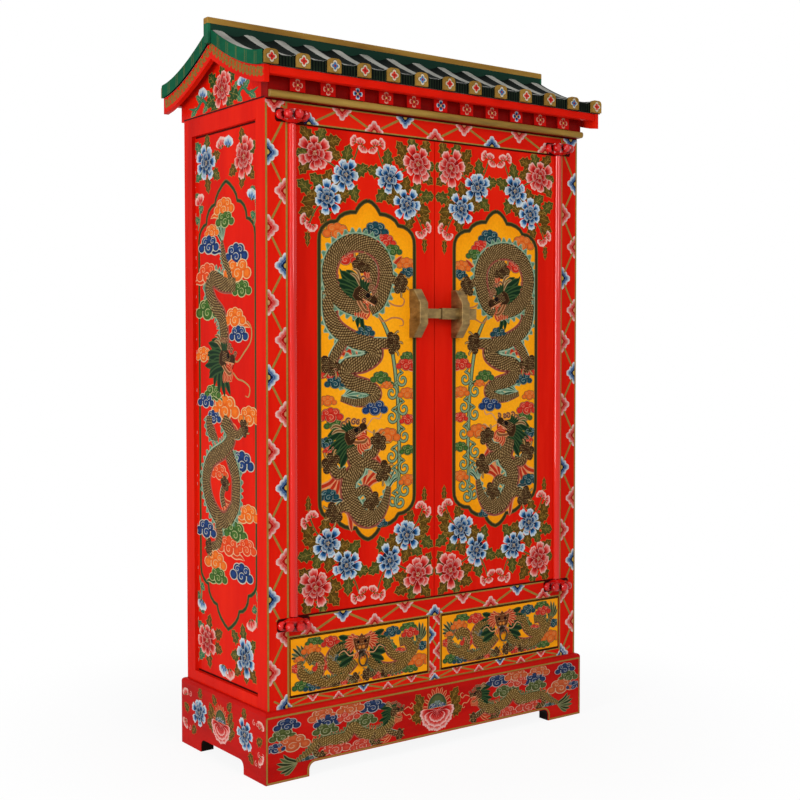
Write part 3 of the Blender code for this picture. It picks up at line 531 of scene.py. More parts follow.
def scaled_body(
    coat, points, width, lift=0.00045, back=1, slim=(0.8, 0.16), fins=bright_fins, tones=scale_tones
):
    """Dragon's body along a line: rows of pale scales on brown, a pink belly and a finned back."""
    row_pitch, column_pitch = 0.0034, 0.0036
    line = curve(points, row_pitch)
    lift += coat.next_lift()
    rows = []
    columns = max(2, round(0.36 * width / column_pitch))
    inner = [0.72 * k / columns for k in range(-columns, columns + 1)]
    lefts = sides(line)
    edge_points = []
    deep, pale, green = fins or bright_fins
    for i, ((u, v), (a, b)) in enumerate(zip(line, lefts)):
        t = i / (len(line) - 1)
        half = width / 2 * min(1.0, slim[0] + 3 * t, slim[1] + 2.2 * (1 - t))
        row = [(-1, 0.0, belly_rim), (-1, lift, belly_rim)]
        row += [(-0.93, lift, belly_pink), (-0.84, lift, belly_pink)]
        for k, share in enumerate(inner):
            tint, rise = tones[0], 0.0004 * (1 - share * share)
            if i % 2 == 0 and (k + i // 2) % 2 == 0:
                sway = 2 * (math.sin(12.9898 * i + 78.233 * k) * 43758.5453 % 1.0) - 1
                bright = 0.78 + 0.22 * sway
                tint = tuple(low + (high - low) * bright for low, high in zip(*tones))
                share, rise = share + 0.14 * sway / columns, rise + 0.00012
            row.append((share, lift + rise, tint))
        row += [(0.8, lift, deep), (0.9, lift, pale), (1, lift, pale), (1, 0.0, pale)]
        spots = [coat.spot(u + back * a * half * s, v + back * b * half * s, z, c) for s, z, c in row]
        rows.append(spots if back > 0 else spots[::-1])
        edge_points.append((u + back * a * half, v + back * b * half, half))
    coat.band(rows)
    if fins:
        step = max(3, round(0.3 * width / row_pitch))
        for i in range(2, len(line) - step, step):
            (u, v, half), (x, y, _) = edge_points[i], edge_points[i + step]
            a, b = lefts[i]
            tall = 0.46 * half
            tip = ((0.4 * u + 0.6 * x) + back * a * tall, (0.4 * v + 0.6 * y) + back * b * tall)
            low = (u - back * a * tall * 0.3, v - back * b * tall * 0.3)
            far = (x - back * a * tall * 0.3, y - back * b * tall * 0.3)
            outward = ((u + tip[0]) / 2 + back * a * tall * 0.3, (v + tip[1]) / 2 + back * b * tall * 0.3)
            coat.mound([low, far, tip, outward], [(1.0, pale, lift - 0.0001), (0.45, green, lift - 0.00006)])


def lock(coat, points, width, hues, lift):
    """Pointed lock of mane or flame: hues are its edge and its body."""
    stroke(coat, curve(points, width * 0.5), width, hues[1], lift, (0.5, 0.0), hues[0])


mane_hues = (tone(52, 78, 42), tone(16, 42, 24))
flame_hues = (tone(214, 142, 96), tone(178, 44, 24))


def head(coat, u, v, size, angle, hand, whiskers=True):
    """Dragon's head in profile: mane, horns, open jaws with teeth, beard, bright eye and whiskers."""

    def at(x, y):
        y *= hand
        return (
            u + size * (x * math.cos(angle) - y * math.sin(angle)),
            v + size * (x * math.sin(angle) + y * math.cos(angle)),
        )

    for k in range(9):
        y = 0.42 - 0.12 * k
        reach = 1.05 + 0.26 * math.sin(2.3 * k)
        path = [at(-0.1, y * 0.55), at(-0.55, y * 0.95), at(-reach, y * 1.3 - 0.14)]
        lock(coat, path, size * 0.24, mane_hues, 0.00075)
    for y, top in ((0.28, 0.62), (0.18, 0.44)):
        horn = curve([at(0.0, y), at(-0.3, y + 0.12), at(-0.62, top), at(-0.86, top - 0.04)], size * 0.08)
        stroke(coat, horn, size * 0.12, tone(112, 78, 44), 0.0010, (1.0, 0.2), tone(190, 156, 112))
    curls = ((-0.3, 0.5, 0.15), (-0.08, 0.56, 0.13), (0.14, 0.46, 0.12), (0.3, 0.38, 0.1), (0.56, 0.32, 0.1))
    for x, y, r in curls:
        curl = [at(x + a * r, y + b * r) for a, b in swirl(0, 0, 1.0, 1.2, 0.4, 1, 14)]
        stroke(coat, curl, size * 0.075, tone(104, 62, 32), 0.0010, (0.8, 0.6), belly_rim)
    mouth = [(0.02, -0.02), (0.28, 0.03), (0.54, 0.02), (0.52, -0.12), (0.4, -0.28), (0.08, -0.22)]
    layers = [(1.0, tone(112, 22, 14), 0.0009), (0.7, tone(186, 58, 32), 0.00095)]
    coat.mound([at(x, y) for x, y in mouth], layers)
    tongue = curve([at(0.1, -0.12), at(0.36, -0.14), at(0.52, -0.34), at(0.5, -0.56)], size * 0.06)
    stroke(coat, tongue, size * 0.09, tone(186, 36, 24), 0.0010, (0.8, 0.2), tone(222, 130, 84))
    jaw = curve([at(-0.16, -0.16), at(0.1, -0.3), at(0.34, -0.36), at(0.48, -0.28)], size * 0.07)
    stroke(coat, jaw, size * 0.15, tone(120, 72, 40), 0.0011, (0.8, 0.5), tone(206, 140, 96))
    skull = [(-0.38, -0.2), (-0.42, 0.06), (-0.3, 0.3), (-0.06, 0.4), (0.12, 0.3), (0.26, 0.24), (0.4, 0.3)]
    skull += [(0.54, 0.28), (0.6, 0.16), (0.58, 0.02), (0.42, 0.0), (0.2, -0.03), (0.0, -0.14), (-0.2, -0.26)]
    layers = [(1.0, tone(118, 82, 52), 0.0011), (0.94, scale_dark, 0.00115), (0.5, scale_dark, 0.0013)]
    coat.mound([at(x, y) for x, y in skull], layers)
    for k in range(48):
        x, y = 0.0054 * (k % 8 - 3 + 0.5 * (k // 8 % 2)) / size, 0.0048 * (k // 8 - 1) / size
        if -0.36 < x < 0.5 and -0.18 + 0.3 * max(0.0, x) < y < 0.36 - 0.25 * max(0.0, x):
            dot(coat, *at(x, y), 0.0013, scale_light if k % 3 else belly_rim, 0.00132, 4)
    stroke(coat, [at(0.02, -0.06), at(0.3, -0.01), at(0.56, 0.02)], size * 0.04, tone(214, 140, 96), 0.0014)
    for x, y in ((0.2, -0.05), (0.44, -0.03)):
        fang = [at(x - 0.022, y + 0.02), at(x + 0.022, y + 0.02), at(x + 0.01, y - 0.06)]
        coat.mound(fang, [(1.0, tone(214, 198, 172), 0.0013)])
    dot(coat, *at(0.52, 0.15), size * 0.04, tone(24, 12, 8), 0.00152)
    for k in range(4):
        path = [at(0.02 - 0.08 * k, 0.26), at(-0.06 - 0.09 * k, 0.40), at(-0.02 - 0.14 * k, 0.58 - 0.03 * k)]
        lock(coat, path, size * 0.1, mane_hues, 0.0013)
    dot(coat, *at(0.14, 0.17), size * 0.085, tone(14, 12, 10), 0.0014, 12)
    dot(coat, *at(0.13, 0.175), size * 0.055, tone(226, 220, 206), 0.00148, 10)
    dot(coat, *at(0.155, 0.165), size * 0.034, tone(10, 8, 8), 0.00158, 8)
    for k in range(5):
        path = [at(0.06 + 0.09 * k, -0.34), at(0.1 * k, -0.52), at(0.08 + 0.12 * k, -0.74 + 0.05 * k)]
        lock(coat, path, size * 0.11, flame_hues, 0.0010)
    if whiskers:
        for path in (
            ((0.6, 0.1), (0.95, 0.28), (1.2, 0.16), (1.36, 0.38), (1.2, 0.52), (1.1, 0.42)),
            ((0.56, -0.02), (0.85, -0.25), (1.14, -0.2), (1.3, -0.42), (1.16, -0.52), (1.08, -0.44)),
        ):
            line = curve([at(x, y) for x, y in path], size * 0.06)
            stroke(coat, line, size * 0.045, tone(206, 150, 104), 0.0006, (1.0, 0.3))


def claw(coat, u, v, facing, size):
    """Knot of curled claws: brown lobes with pale edges and dots, and the tips of three talons."""
    for turn in (-0.9, -0.1, 0.7):
        bends = ((0.8, 0), (1.15, 0.04), (1.32, 0.2))
        hook = [ahead(u, v, facing + turn, size * reach, size * aside) for reach, aside in bends]
        talon = curve(hook, size * 0.15)
        stroke(coat, talon, size * 0.2, tone(176, 140, 84), 0.0007, (1.0, 0.1), tone(84, 58, 32))
    lobes = ((-1.3, 0.56, 0.36), (-0.5, 0.74, 0.36), (0.3, 0.76, 0.36), (1.1, 0.6, 0.36), (0.0, 0.14, 0.48))
    for turn, reach, radius in lobes:
        a, b = ahead(u, v, facing + turn, size * reach)
        ring = [ahead(a, b, 0.628 * k, size * radius) for k in range(10)]
        layers = [(1.0, tone(126, 88, 56), 0.0008), (0.9, scale_dark, 0.00082), (0.5, scale_dark, 0.00086)]
        coat.mound(ring, layers)
        for k in range(21):
            x, y = 0.0054 * (k % 5 - 2 + 0.5 * (k // 5 % 2)), 0.0046 * (k // 5 - 2)
            if math.hypot(x, y) < 0.82 * size * radius:
                pale = tone(*[c * (0.75 + 0.2 * math.sin(7.7 * k + 900 * a)) for c in (206, 170, 110)])
                dot(coat, a + x, b + y, 0.0013, pale, 0.00088, 4)


def paw(coat, points, width, hand=1):
    """Scaled leg that ends in a clenched claw, with flames behind its elbow."""
    (x, y), (a, b) = points[-1], points[-2]
    facing = math.atan2(y - b, x - a)
    u, v = points[len(points) // 2]
    for k in range(3):
        turn = facing + math.pi + hand * (0.5 + 0.45 * k)
        flame = [(u, v), ahead(u, v, turn, width), ahead(u, v, turn + 0.3, width * 2.3)]
        lock(coat, flame, width * 0.5, flame_hues, 0.00036)
    scaled_body(coat, points, width, 0.0005, hand, (1.0, 0.7), None)
    claw(coat, x, y, facing, width * 1.05)


def tail_tuft(coat, u, v, angle, size, fins=bright_fins):
    """Fan of long pale fins at the end of a tail."""
    deep, pale, green = fins
    for k in range(6):
        turn = angle + (k - 2.5) * 0.24
        long = size * (1.15 - 0.12 * abs(k - 2.5))
        fin = [(u, v), ahead(u, v, turn, 0.55 * size), ahead(u, v, turn + 0.16, long)]
        lock(coat, fin, size * 0.17, (pale, deep if k % 2 else green), 0.0004)


def outline_of(half, middle):
    """Closed cartouche outline from its upper right quarter, about the given height."""
    right = half + [(u, 2 * middle - v) for u, v in reversed(half)]
    return right + [(-u, v) for u, v in reversed(right) if u > 0.0005]


def mm(points):
    """Spots given in millimetres."""
    return [(u / 1000, v / 1000) for u, v in points]


panel_paint = painted_finish("panel_paint", (0.32, 0.52), 0.2)
side_flowers = (
    (-111, 1643, 54, "blue"), (98, 1636, 54, "pink"), (-121, 312, 50, "pink"), (93, 306, 52, "blue"),
)
side_leaves = (
    (-105, 1701), (-52, 1656), (-158, 1690), (-52, 1605), (-101, 1580), (-154, 1611), (88, 1694), (37, 1606),
    (87, 1575), (137, 1590), (147, 1657), (-158, 345), (-108, 368), (-53, 342), (-55, 300), (-109, 258),
    (-154, 268), (36, 353), (82, 372), (132, 342), (98, 256), (136, 262), (52, 262), (36, 300),
)
side_buds = (
    (-23, 1672, 1.75, "pink"), (12, 1670, 1.4, "blue"), (-146, 1530, 1.9, "pink"), (136, 1518, 1.3, "blue"),
    (-22, 262, -1.8, "blue"), (6, 258, -1.4, "pink"), (-148, 424, -1.8, "blue"), (124, 414, -1.3, "pink"),
)
side_clouds = (
    (-11, 1512, 30, "orange"), (-6, 1478, 28, "green"), (-81, 1452, 22, "orange"), (-98, 1415, 32, "blue"),
    (55, 1382, 34, "blue"), (60, 1338, 40, "orange"), (-108, 1337, 34, "red"), (-108, 1236, 36, "green"),
    (84, 1288, 28, "green"), (46, 1212, 32, "orange"), (66, 1168, 28, "blue"), (-132, 1113, 26, "orange"),
    (-10, 967, 42, "orange"), (-120, 985, 26, "blue"), (-76, 941, 24, "blue"), (-80, 1008, 26, "green"),
    (120, 950, 32, "orange"), (80, 826, 36, "blue"), (116, 690, 30, "orange"), (-122, 624, 32, "blue"),
    (42, 634, 36, "green"), (6, 592, 34, "red"), (104, 600, 28, "red"), (-69, 542, 34, "orange"),
    (-54, 502, 28, "green"), (76, 526, 34, "blue"), (-44, 790, 26, "red"),
)
side_cartouche = mm([(0, 1583), (20, 1573), (42, 1557), (56, 1541), (62, 1525), (80, 1521), (97, 1510)])
side_cartouche += mm([(108, 1494), (112, 1475), (127, 1471), (142, 1461), (152, 1448), (156, 1430)])
cartouche_middle, cartouche_line = 0.974, 0.0112
side_line = outline_of(side_cartouche, cartouche_middle)
side_leaf_long, side_leaf_wide, side_bud, leaf_back = 0.050, 0.038, 0.034, -0.026
flower_hues = {"blue": blue_hues, "pink": pink_hues}


def side_painting(coat):
    """Painting of one side panel: dark cartouche line, painted shade at its edges, vines, flowers, dragon,
    clouds.
    """
    coat.limits = (-0.1755, 0.2188, 0.1755, 1.7215)
    stroke(coat, side_line + side_line[:1], cartouche_line, tone(30, 56, 32), 0.00026, rim=tone(92, 86, 38))
    # Painted shade: dark lines along the top, bottom and front edges of the panel, against the frame.
    for line, wide in (
        ([(-0.172, 1.7190), (0.172, 1.7190)], 0.005),
        ([(-0.172, 0.2212), (0.172, 0.2212)], 0.005),
        ([(0.1742, 0.22), (0.1742, 1.72)], 0.003),
    ):
        stroke(coat, line, wide, tone(64, 6, 4), 0.0002)
    for k in range(90):
        low = 0.23 + 0.0165 * k + 0.004 * math.sin(5.1 * k)
        high = low + 0.006 + 0.004 * math.sin(1.9 * k)
        if math.sin(2.7 * k) > 0.35:
            stroke(coat, [(-0.1738, low), (-0.1738, high)], 0.0018, tone(206, 150, 140), 0.0002)
    for u, v, turn in ((-0.16, 1.46, 1.9), (0.15, 1.45, 1.2), (-0.165, 0.49, -1.9), (0.15, 0.50, -1.2)):
        climb = [(u, v), (u + 0.012, v + math.sin(turn) * 0.05), (u - 0.002, v + math.sin(turn) * 0.11)]
        stroke(coat, curve(climb, 0.008), 0.0076, teal_leaf[2], 0.0002, (0.4, 0.4), teal_leaf[0])
        for share, lean in ((0.022, 1.0), (0.052, -1.1), (0.086, 0.9)):
            rise = math.copysign(share, turn)
            leaf(coat, u + 0.006, v + rise, math.copysign(math.pi / 2, turn) + lean, 0.030, 0.026, teal_leaf)
    flowers = mm([flower[:2] for flower in side_flowers])
    for u, v in mm(side_leaves):
        near = min(flowers, key=lambda flower: math.dist(flower, (u, v)))
        angle = math.atan2(v - near[1], u - near[0])
        hues = teal_leaf if abs(u) > 0.15 else (green_leaf if (u * v * 1e4) % 2 > 1 else olive_leaf)
        leaf(coat, *ahead(u, v, angle, leaf_back), angle, side_leaf_long, side_leaf_wide, hues)
    for u, v, angle, colour in side_buds:
        bud(coat, u / 1000, v / 1000, angle, side_bud, flower_hues[colour])
    for i, (u, v, size, colour) in enumerate(side_flowers):
        peony(coat, u / 1000, v / 1000, size / 1000, flower_hues[colour], 0.7 * i)
    tail = mm([(30, 1300), (10, 1345), (-10, 1372), (-18, 1394), (-24, 1425)])
    scaled_body(coat, tail, 0.034, slim=(1.0, 0.3))
    tail_tuft(coat, -0.024, 1.420, 1.75, 0.062)
    scaled_body(coat, mm([(-101, 945), (-95, 906), (-53, 880)]), 0.046, back=-1)
    scaled_body(coat, mm([(-60, 676), (-44, 624), (-56, 582)]), 0.042, slim=(1.0, 0.6))
    loop = [(-22, 940), (22, 900), (-5, 862), (-90, 824), (-121, 769)]
    loop += [(-103, 711), (-55, 669), (-7, 663), (40, 702)]
    scaled_body(coat, mm([(12, 846), (46, 790), (48, 740), (40, 702), (2, 664)]), 0.054, slim=(1.0, 1.0))
    scaled_body(coat, mm(loop), 0.054, back=-1, slim=(1.0, 0.9))
    rise = [(52, 1304), (-19, 1308), (-77, 1325), (-99, 1295)]
    rise += [(-73, 1253), (-30, 1221), (-15, 1180), (-14, 1120)]
    scaled_body(coat, mm(rise), 0.054, back=-1, slim=(1.0, 0.9))
    paw(coat, mm([(-20, 700), (-30, 730), (-18, 755)]), 0.026)
    paw(coat, mm([(-50, 600), (-66, 588), (-96, 580)]), 0.028)
    paw(coat, mm([(30, 905), (62, 900), (84, 915)]), 0.028, -1)
    cloud_bank(coat, side_clouds, 1.3, 3, 0.00055, 1.45)
    mane = [(-96, 1146), (-110, 1112), (-112, 1080), (-98, 1048)]
    mane += [(-72, 1022), (-42, 1006), (-10, 998), (20, 1004)]
    for tip in mm(mane):
        crown = (-0.016, 1.126)
        bend = (0.62 * tip[0] + crown[0], 0.62 * tip[1] + 0.38 * crown[1])
        lock(coat, [crown, bend, tip], 0.024, mane_hues, 0.00072)
    head(coat, -0.006, 1.100, 0.086, -0.25, 1, False)
    for path in (
        [(44, 1100), (60, 1096), (93, 1119), (130, 1150), (134, 1183), (113, 1203), (104, 1190)],
        [(36, 1066), (60, 1050), (92, 1044), (124, 1028), (118, 1004), (100, 1006)],
    ):
        stroke(coat, curve(mm(path), 0.006), 0.0045, tone(176, 140, 84), 0.0005, (1.0, 0.3))


both_sides = (("left", -1), ("right", 1))
for hand, side in both_sides:
    painting = side_coat(f"{hand}_side_panel", side)
    side_painting(painting)
    painting.dry(f"{hand}_side_painting", panel_paint, "case")

# Back panel: one plain board held in the grooves of the back posts. It is brushed with a single dark coat,
# which has soaked in unevenly and was never polished.

back_tones = [tone(58, 22, 16), tone(84, 30, 20), tone(104, 42, 28)]
back_coat = finish("back_panel_coat", back_tones, (3.0, 3.0, 22.0), (0.5, 0.72), 0.3)
dress(back_coat, "back_panel")

# Plinth: four thick boards with arched feet, lacquered red outside and left bare inside, where a painted
# shade colours the inner faces near black. The front carries two dragons that face a lotus, with gilt lines
# along the top, the corners and the arches, and each side has a lotus between two blue peonies. All of it is
# brushed on over the lacquer.


class Pattern:
    """Wiring that lays out colours by place: arithmetic on distances, washes of paint and masks for them."""

    def __init__(self, tree):
        self.tree = tree

    def places(self):
        """Distances of a spot along the three directions of the frame."""
        split = add(self.tree, "SeparateXYZ")
        self.tree.links.new(self.tree.nodes["Texture Coordinate"].outputs["Object"], split.inputs["Vector"])
        return [split.outputs[axis] for axis in "XYZ"]

    def feed(self, socket, value):
        """A wire, a number or a colour into a socket."""
        if isinstance(value, bpy.types.NodeSocket):
            self.tree.links.new(value, socket)
        elif isinstance(value, tuple):
            socket.default_value = (*value, 1.0)
        else:
            socket.default_value = value

    def step(self, operation, *values):
        """One step of arithmetic."""
        node = add(self.tree, "Math")
        node.operation = operation
        for socket, value in zip(node.inputs, values):
            self.feed(socket, value)
        return node.outputs[0]

    def ground(self):
        """The tones that the finish has everywhere."""
        return self.tree.nodes["tones"].outputs["Color"]

    def wash(self, low, high, start=0.3, end=0.7):
        """Paint that drifts from one colour to the other with the brush marks."""
        ramp = add(self.tree, "ValToRGB")
        for stop, place, colour in zip(ramp.color_ramp.elements, (start, end), (low, high)):
            stop.position, stop.color = place, (*colour, 1.0)
        self.tree.links.new(self.tree.nodes["Noise Texture"].outputs[0], ramp.inputs[0])
        return ramp.outputs["Color"]

    def two_tone(self, mask, low, high):
        """The low colour, and the high one where the mask is on."""
        mix = add(self.tree, "Mix")
        mix.data_type = "RGBA"
        for socket, value in ((0, mask), (6, low), (7, high)):
            self.feed(mix.inputs[socket], value)
        return mix.outputs[2]

    def show(self, colour):
        """Makes a colour the one that is seen."""
        self.tree.links.new(colour, self.tree.nodes["Principled BSDF"].inputs["Base Color"])


plinth_tones = [tone(160, 14, 12), tone(188, 20, 14), tone(200, 30, 20)]
plinth_lacquer = lacquer("plinth_lacquer", (2.2, 2.2, 9.0), (0.28, 0.44), 0.08, plinth_tones)
boards = Pattern(plinth_lacquer.node_tree)
inner_reach = (0.5605, 0.2345, 0.1700)
inside = []
for place, edge in zip(boards.places(), inner_reach):
    inside.append(boards.step("LESS_THAN", boards.step("ABSOLUTE", place), edge))
hidden = boards.step("MULTIPLY", boards.step("MULTIPLY", inside[0], inside[1]), inside[2])
# Painted shade: the inner faces of the plinth boards are coloured near black.
inner_shade = boards.wash(tone(14, 8, 6), tone(36, 22, 16), 0.0, 1.0)
boards.show(boards.two_tone(hidden, boards.ground(), inner_shade))
dress(plinth_lacquer, "plinth_front", "plinth_back", "plinth_left", "plinth_right")


def foot_line(inner, outer):
    """Gilt line just inside the edge of an arched board, from the middle of the arch to the corner."""
    arch, low, high, bend = 0.0405, 0.0035, 0.1745, 0.0235
    line = [(0.0, arch), (inner - 0.0215, arch)]
    for i in range(1, 7):
        t = math.pi / 2 * (1 - i / 6)
        line.append(ahead(inner - 0.0195, 0.017, t, bend))
    return line + [(inner + 0.004, low), (outer, low), (outer, high), (0.0, high)]


dusty_hues = {
    "orange": (tone(196, 158, 126), tone(178, 72, 36), tone(192, 92, 52)),
    "red": (tone(204, 150, 130), tone(180, 48, 36), tone(196, 70, 52)),
    "blue": (tone(160, 158, 158), tone(24, 36, 64), tone(42, 60, 96)),
    "green": (tone(156, 156, 118), tone(58, 66, 32), tone(84, 94, 50)),
    "teal": (tone(150, 160, 148), tone(30, 52, 54), tone(46, 74, 74)),
}
old_fins = (tone(38, 44, 26), tone(126, 128, 88), tone(72, 84, 50))
old_scales = (tone(86, 60, 26), tone(206, 174, 104))
plinth_clouds = (
    (498, 148, 24, "blue"), (512, 122, 24, "green"), (482, 96, 32, "orange"), (534, 92, 18, "blue"),
    (388, 154, 26, "orange"), (372, 136, 26, "blue"), (378, 116, 24, "green"), (298, 160, 26, "orange"),
    (304, 138, 22, "red"), (224, 152, 25, "blue"), (250, 118, 24, "green"), (346, 60, 28, "red"),
    (262, 53, 22, "red"), (437, 42, 18, "teal"),
)


def plinth_half(coat):
    """One dragon with its clouds, painted outward from the lotus."""
    arch_end, board_end, foot_gilt = 0.4295, 0.5590, 0.0045
    zigzag(coat, foot_line(arch_end, board_end), foot_gilt, gilt_line, 0.00024)
    above_arch, on_foot = (-0.554, 0.0445, 0.554, 0.1705), (0.437, 0.008, 0.554, 0.1705)
    coat.limits = above_arch
    body = [(150, 122), (172, 92), (205, 74), (255, 84), (288, 108)]
    body += [(314, 84), (361, 84), (405, 84), (430, 66), (470, 46)]
    scaled_body(coat, mm(body), 0.036, slim=(0.8, 0.3), fins=old_fins, tones=old_scales)
    coat.limits = on_foot
    tail_tuft(coat, 0.468, 0.047, -0.2, 0.058, old_fins)
    coat.limits = above_arch
    paw(coat, mm([(215, 78), (228, 58), (214, 46)]), 0.018)
    paw(coat, mm([(184, 84), (160, 70), (140, 62)]), 0.018, -1)
    paw(coat, mm([(396, 84), (412, 62), (398, 50)]), 0.018)
    cloud_bank(coat, plinth_clouds, 1.12, 0, 0.0005, 1.6, dusty_hues)
    head(coat, 0.146, 0.124, 0.044, math.pi + 0.12, -1)


lotus_hues = [tone(232, 178, 170), tone(214, 88, 80), tone(194, 28, 28), tone(146, 10, 14)]


def lotus(coat, u, v, size):
    """Lotus from the side: leaves, a fan of pale rays over a dark heart, three rows of hanging petals."""
    for side in (-1, 1):
        for k in range(3):
            foot = (u + side * 0.048 * size, v + (0.018 * k - 0.019) * size)
            leaf(coat, *foot, math.pi / 2 - side * (1.2 - 0.3 * k), 0.044 * size, 0.034 * size, olive_leaf)
    for k in range(9):
        turn = math.pi / 2 + (k - 4) * 0.34
        across, up = math.cos(turn), math.sin(turn)
        reaches = (0.022, 0.040, 0.052)
        ray = [(u + reach * size * across, v + (0.010 + reach) * size * up) for reach in reaches]
        lock(coat, ray, 0.009 * size, flame_hues, 0.0003)
    angles = [math.pi * k / 8 for k in range(9)]
    heart = [(u + 0.034 * size * math.cos(t), v + (0.006 + 0.040 * math.sin(t)) * size) for t in angles]
    pale, dark, light = tone(196, 150, 110), tone(40, 62, 40), tone(84, 92, 50)
    coat.mound(heart, [(1.0, pale, 0.0005), (0.92, dark, 0.00052), (0.5, light, 0.0006)])
    for k, colour in enumerate(("blue", "teal", "blue")):
        puff = (u + (k - 1) * 0.014 * size, v + (0.012 + 0.006 * (k == 1)) * size)
        cloud(coat, *puff, 0.011 * size, colour, 1, False, 0.0007)
    rows = ((7, 2.9, 0.060, 0.0004), (6, 2.2, 0.048, 0.0005), (5, 1.4, 0.034, 0.0006))
    for count, spread, long, lift in rows:
        for k in range(count):
            turn = -math.pi / 2 + spread * (k / (count - 1) - 0.5)
            petal(coat, u, v, turn, long * size, 0.028 * size, lotus_hues, lift)


plinth_front = front_coat("plinth_front")
plinth_half(plinth_front)
other_half = front_coat("plinth_front", way=-1)
plinth_half(other_half)
other_half.dry("plinth_left_dragon", panel_paint, "case")
lotus(plinth_front, 0.0, 0.106, 1.05)
plinth_front.dry("plinth_front_painting", panel_paint, "case")

for hand, side in both_sides:
    ends = side_coat(f"plinth_{hand}", side)
    ends.limits = (-0.2355, 0.0010, 0.2355, 0.1785)
    for u, v, turn in (
        (-0.062, 0.118, 0.4), (-0.060, 0.090, -0.5), (0.060, 0.116, 2.7), (0.058, 0.090, 3.6),
        (-0.190, 0.10, 2.6), (0.190, 0.10, 0.5), (-0.125, 0.148, 1.5), (0.125, 0.148, 1.6),
        (-0.030, 0.150, 2.2), (0.034, 0.150, 0.9), (-0.150, 0.066, 4.0), (0.150, 0.066, 5.4),
    ):
        leaf(ends, u, v, turn, 0.036, 0.028, olive_leaf)
    peony(ends, -0.128, 0.108, 0.042, blue_hues, 0.3)
    peony(ends, 0.128, 0.108, 0.042, blue_hues, 1.1)
    lotus(ends, -0.004, 0.104, 0.9)
    curls = [(-214, 150), (-218, 66), (214, 148), (212, 72), (186, 152), (-190, 150), (196, 46), (-194, 52)]
    for u, v in mm(curls):
        for shift, way in ((-0.008, 1), (0.008, -1)):
            curl = swirl(u + shift, v, 0.0085, 1.1, math.pi / 2, way, 12)
            stroke(ends, curl, 0.0026, tone(214, 140, 128), 0.0003, (0.8, 0.5))
    for u, v, turn in ((-0.208, 0.142, 2.0), (0.208, 0.142, 1.1), (-0.206, 0.068, 3.9), (0.206, 0.068, 5.5)):
        bud(ends, u, v, turn, 0.022, pink_hues)
    ends.dry(f"plinth_{hand}_painting", panel_paint, "case")

# Beaded pivot blocks and door posts: turned posts run up the outer edges of the doors into half-round blocks
# that are carved with a ring of beads. All are lacquered red and polished like glass.

bead_tones = [tone(150, 8, 8), tone(196, 12, 10), tone(214, 20, 14)]
bead_lacquer = finish("bead_lacquer", bead_tones, (30.0, 30.0, 30.0), (0.1, 0.16), 0.03, coat=0.6, shine=0.05)
beads = Pattern(bead_lacquer.node_tree)
# Painted shade: ambient occlusion darkens the crevices between the beads towards near black.
hollow = add(beads.tree, "AmbientOcclusion", Distance=0.014)
hollow.only_local, hollow.samples = True, 8
unshaded_share = add(beads.tree, "MapRange", From_Min=0.35, From_Max=0.85)
beads.tree.links.new(hollow.outputs["AO"], unshaded_share.inputs["Value"])
beads.show(beads.two_tone(unshaded_share.outputs["Result"], tone(30, 2, 2), beads.ground()))
for level in ("upper", "lower"):
    dress(bead_lacquer, f"{level}_left_pivot_block", f"{level}_right_pivot_block")
post_grain, post_gloss = (20.0, 20.0, 1.6), (0.16, 0.24)
post_lacquer = finish("door_post_lacquer", lacquer_tones, post_grain, post_gloss, 0.0, coat=0.6, shine=0.03)
dress(post_lacquer, "left_door_post", "right_door_post")

# Doors: flat red lacquered leaves on round pivot posts. Each has an ochre field inside a dark stepped
# cartouche with two dragons, clouds and a climbing vine on it, and peonies, leaves and buds in all four
# corners. The field is one flat coat, and the rest is brushed on over it.

door_lacquer = lacquer("door_lacquer", (8.0, 8.0, 1.1), (0.2, 0.34), 0.05)
dress(door_lacquer, "left_door_leaf", "right_door_leaf")
door_paint = painted_finish("door_paint", (0.28, 0.5), 0.14)
field_half = mm([(0, 1531), (14, 1526), (27, 1516), (36, 1505), (40, 1497), (58, 1496), (76, 1491)])
field_half += mm([(92, 1482), (102, 1469), (120, 1467), (136, 1460), (149, 1448), (156, 1433), (157.5, 1416)])
leaf_middle, field_middle, door_middle = 0.2285, 1.0710, 1.0702
field_line, corner_stem, corner_leaf_long, corner_leaf_wide = 0.0125, 0.0045, 0.053, 0.041
corner_bud, bud_back = 0.0205, -0.010
ochre = [tone(240, 146, 10), tone(248, 160, 16), tone(252, 168, 24)]
corner_flowers = ((170, 1643, 51, "pink"), (71.5, 1594, 45, "blue"), (131.5, 1529, 45, "blue"))
corner_stems = (
    [(131, 1529), (165, 1500), (186, 1462)],
    [(71, 1594), (44, 1640), (30, 1676)],
    [(170, 1643), (120, 1620), (71, 1594)],
)
corner_leaves = (
    (197, 1692), (112, 1680), (203, 1606), (204, 1556), (165, 1574), (128, 1583), (188, 1518), (196, 1490),
    (140, 1482), (80, 1540), (45, 1547), (21, 1612), (66, 1652), (150, 1694), (110, 1645), (95, 1560),
    (172, 1536), (207, 1640),
)
corner_buds = (
    (48, 1688, 0.4), (25, 1688, 1.6), (17, 1667, -1.2),
    (207, 1470, 0.3), (191, 1453, -0.7), (176, 1447, -2.0),
)


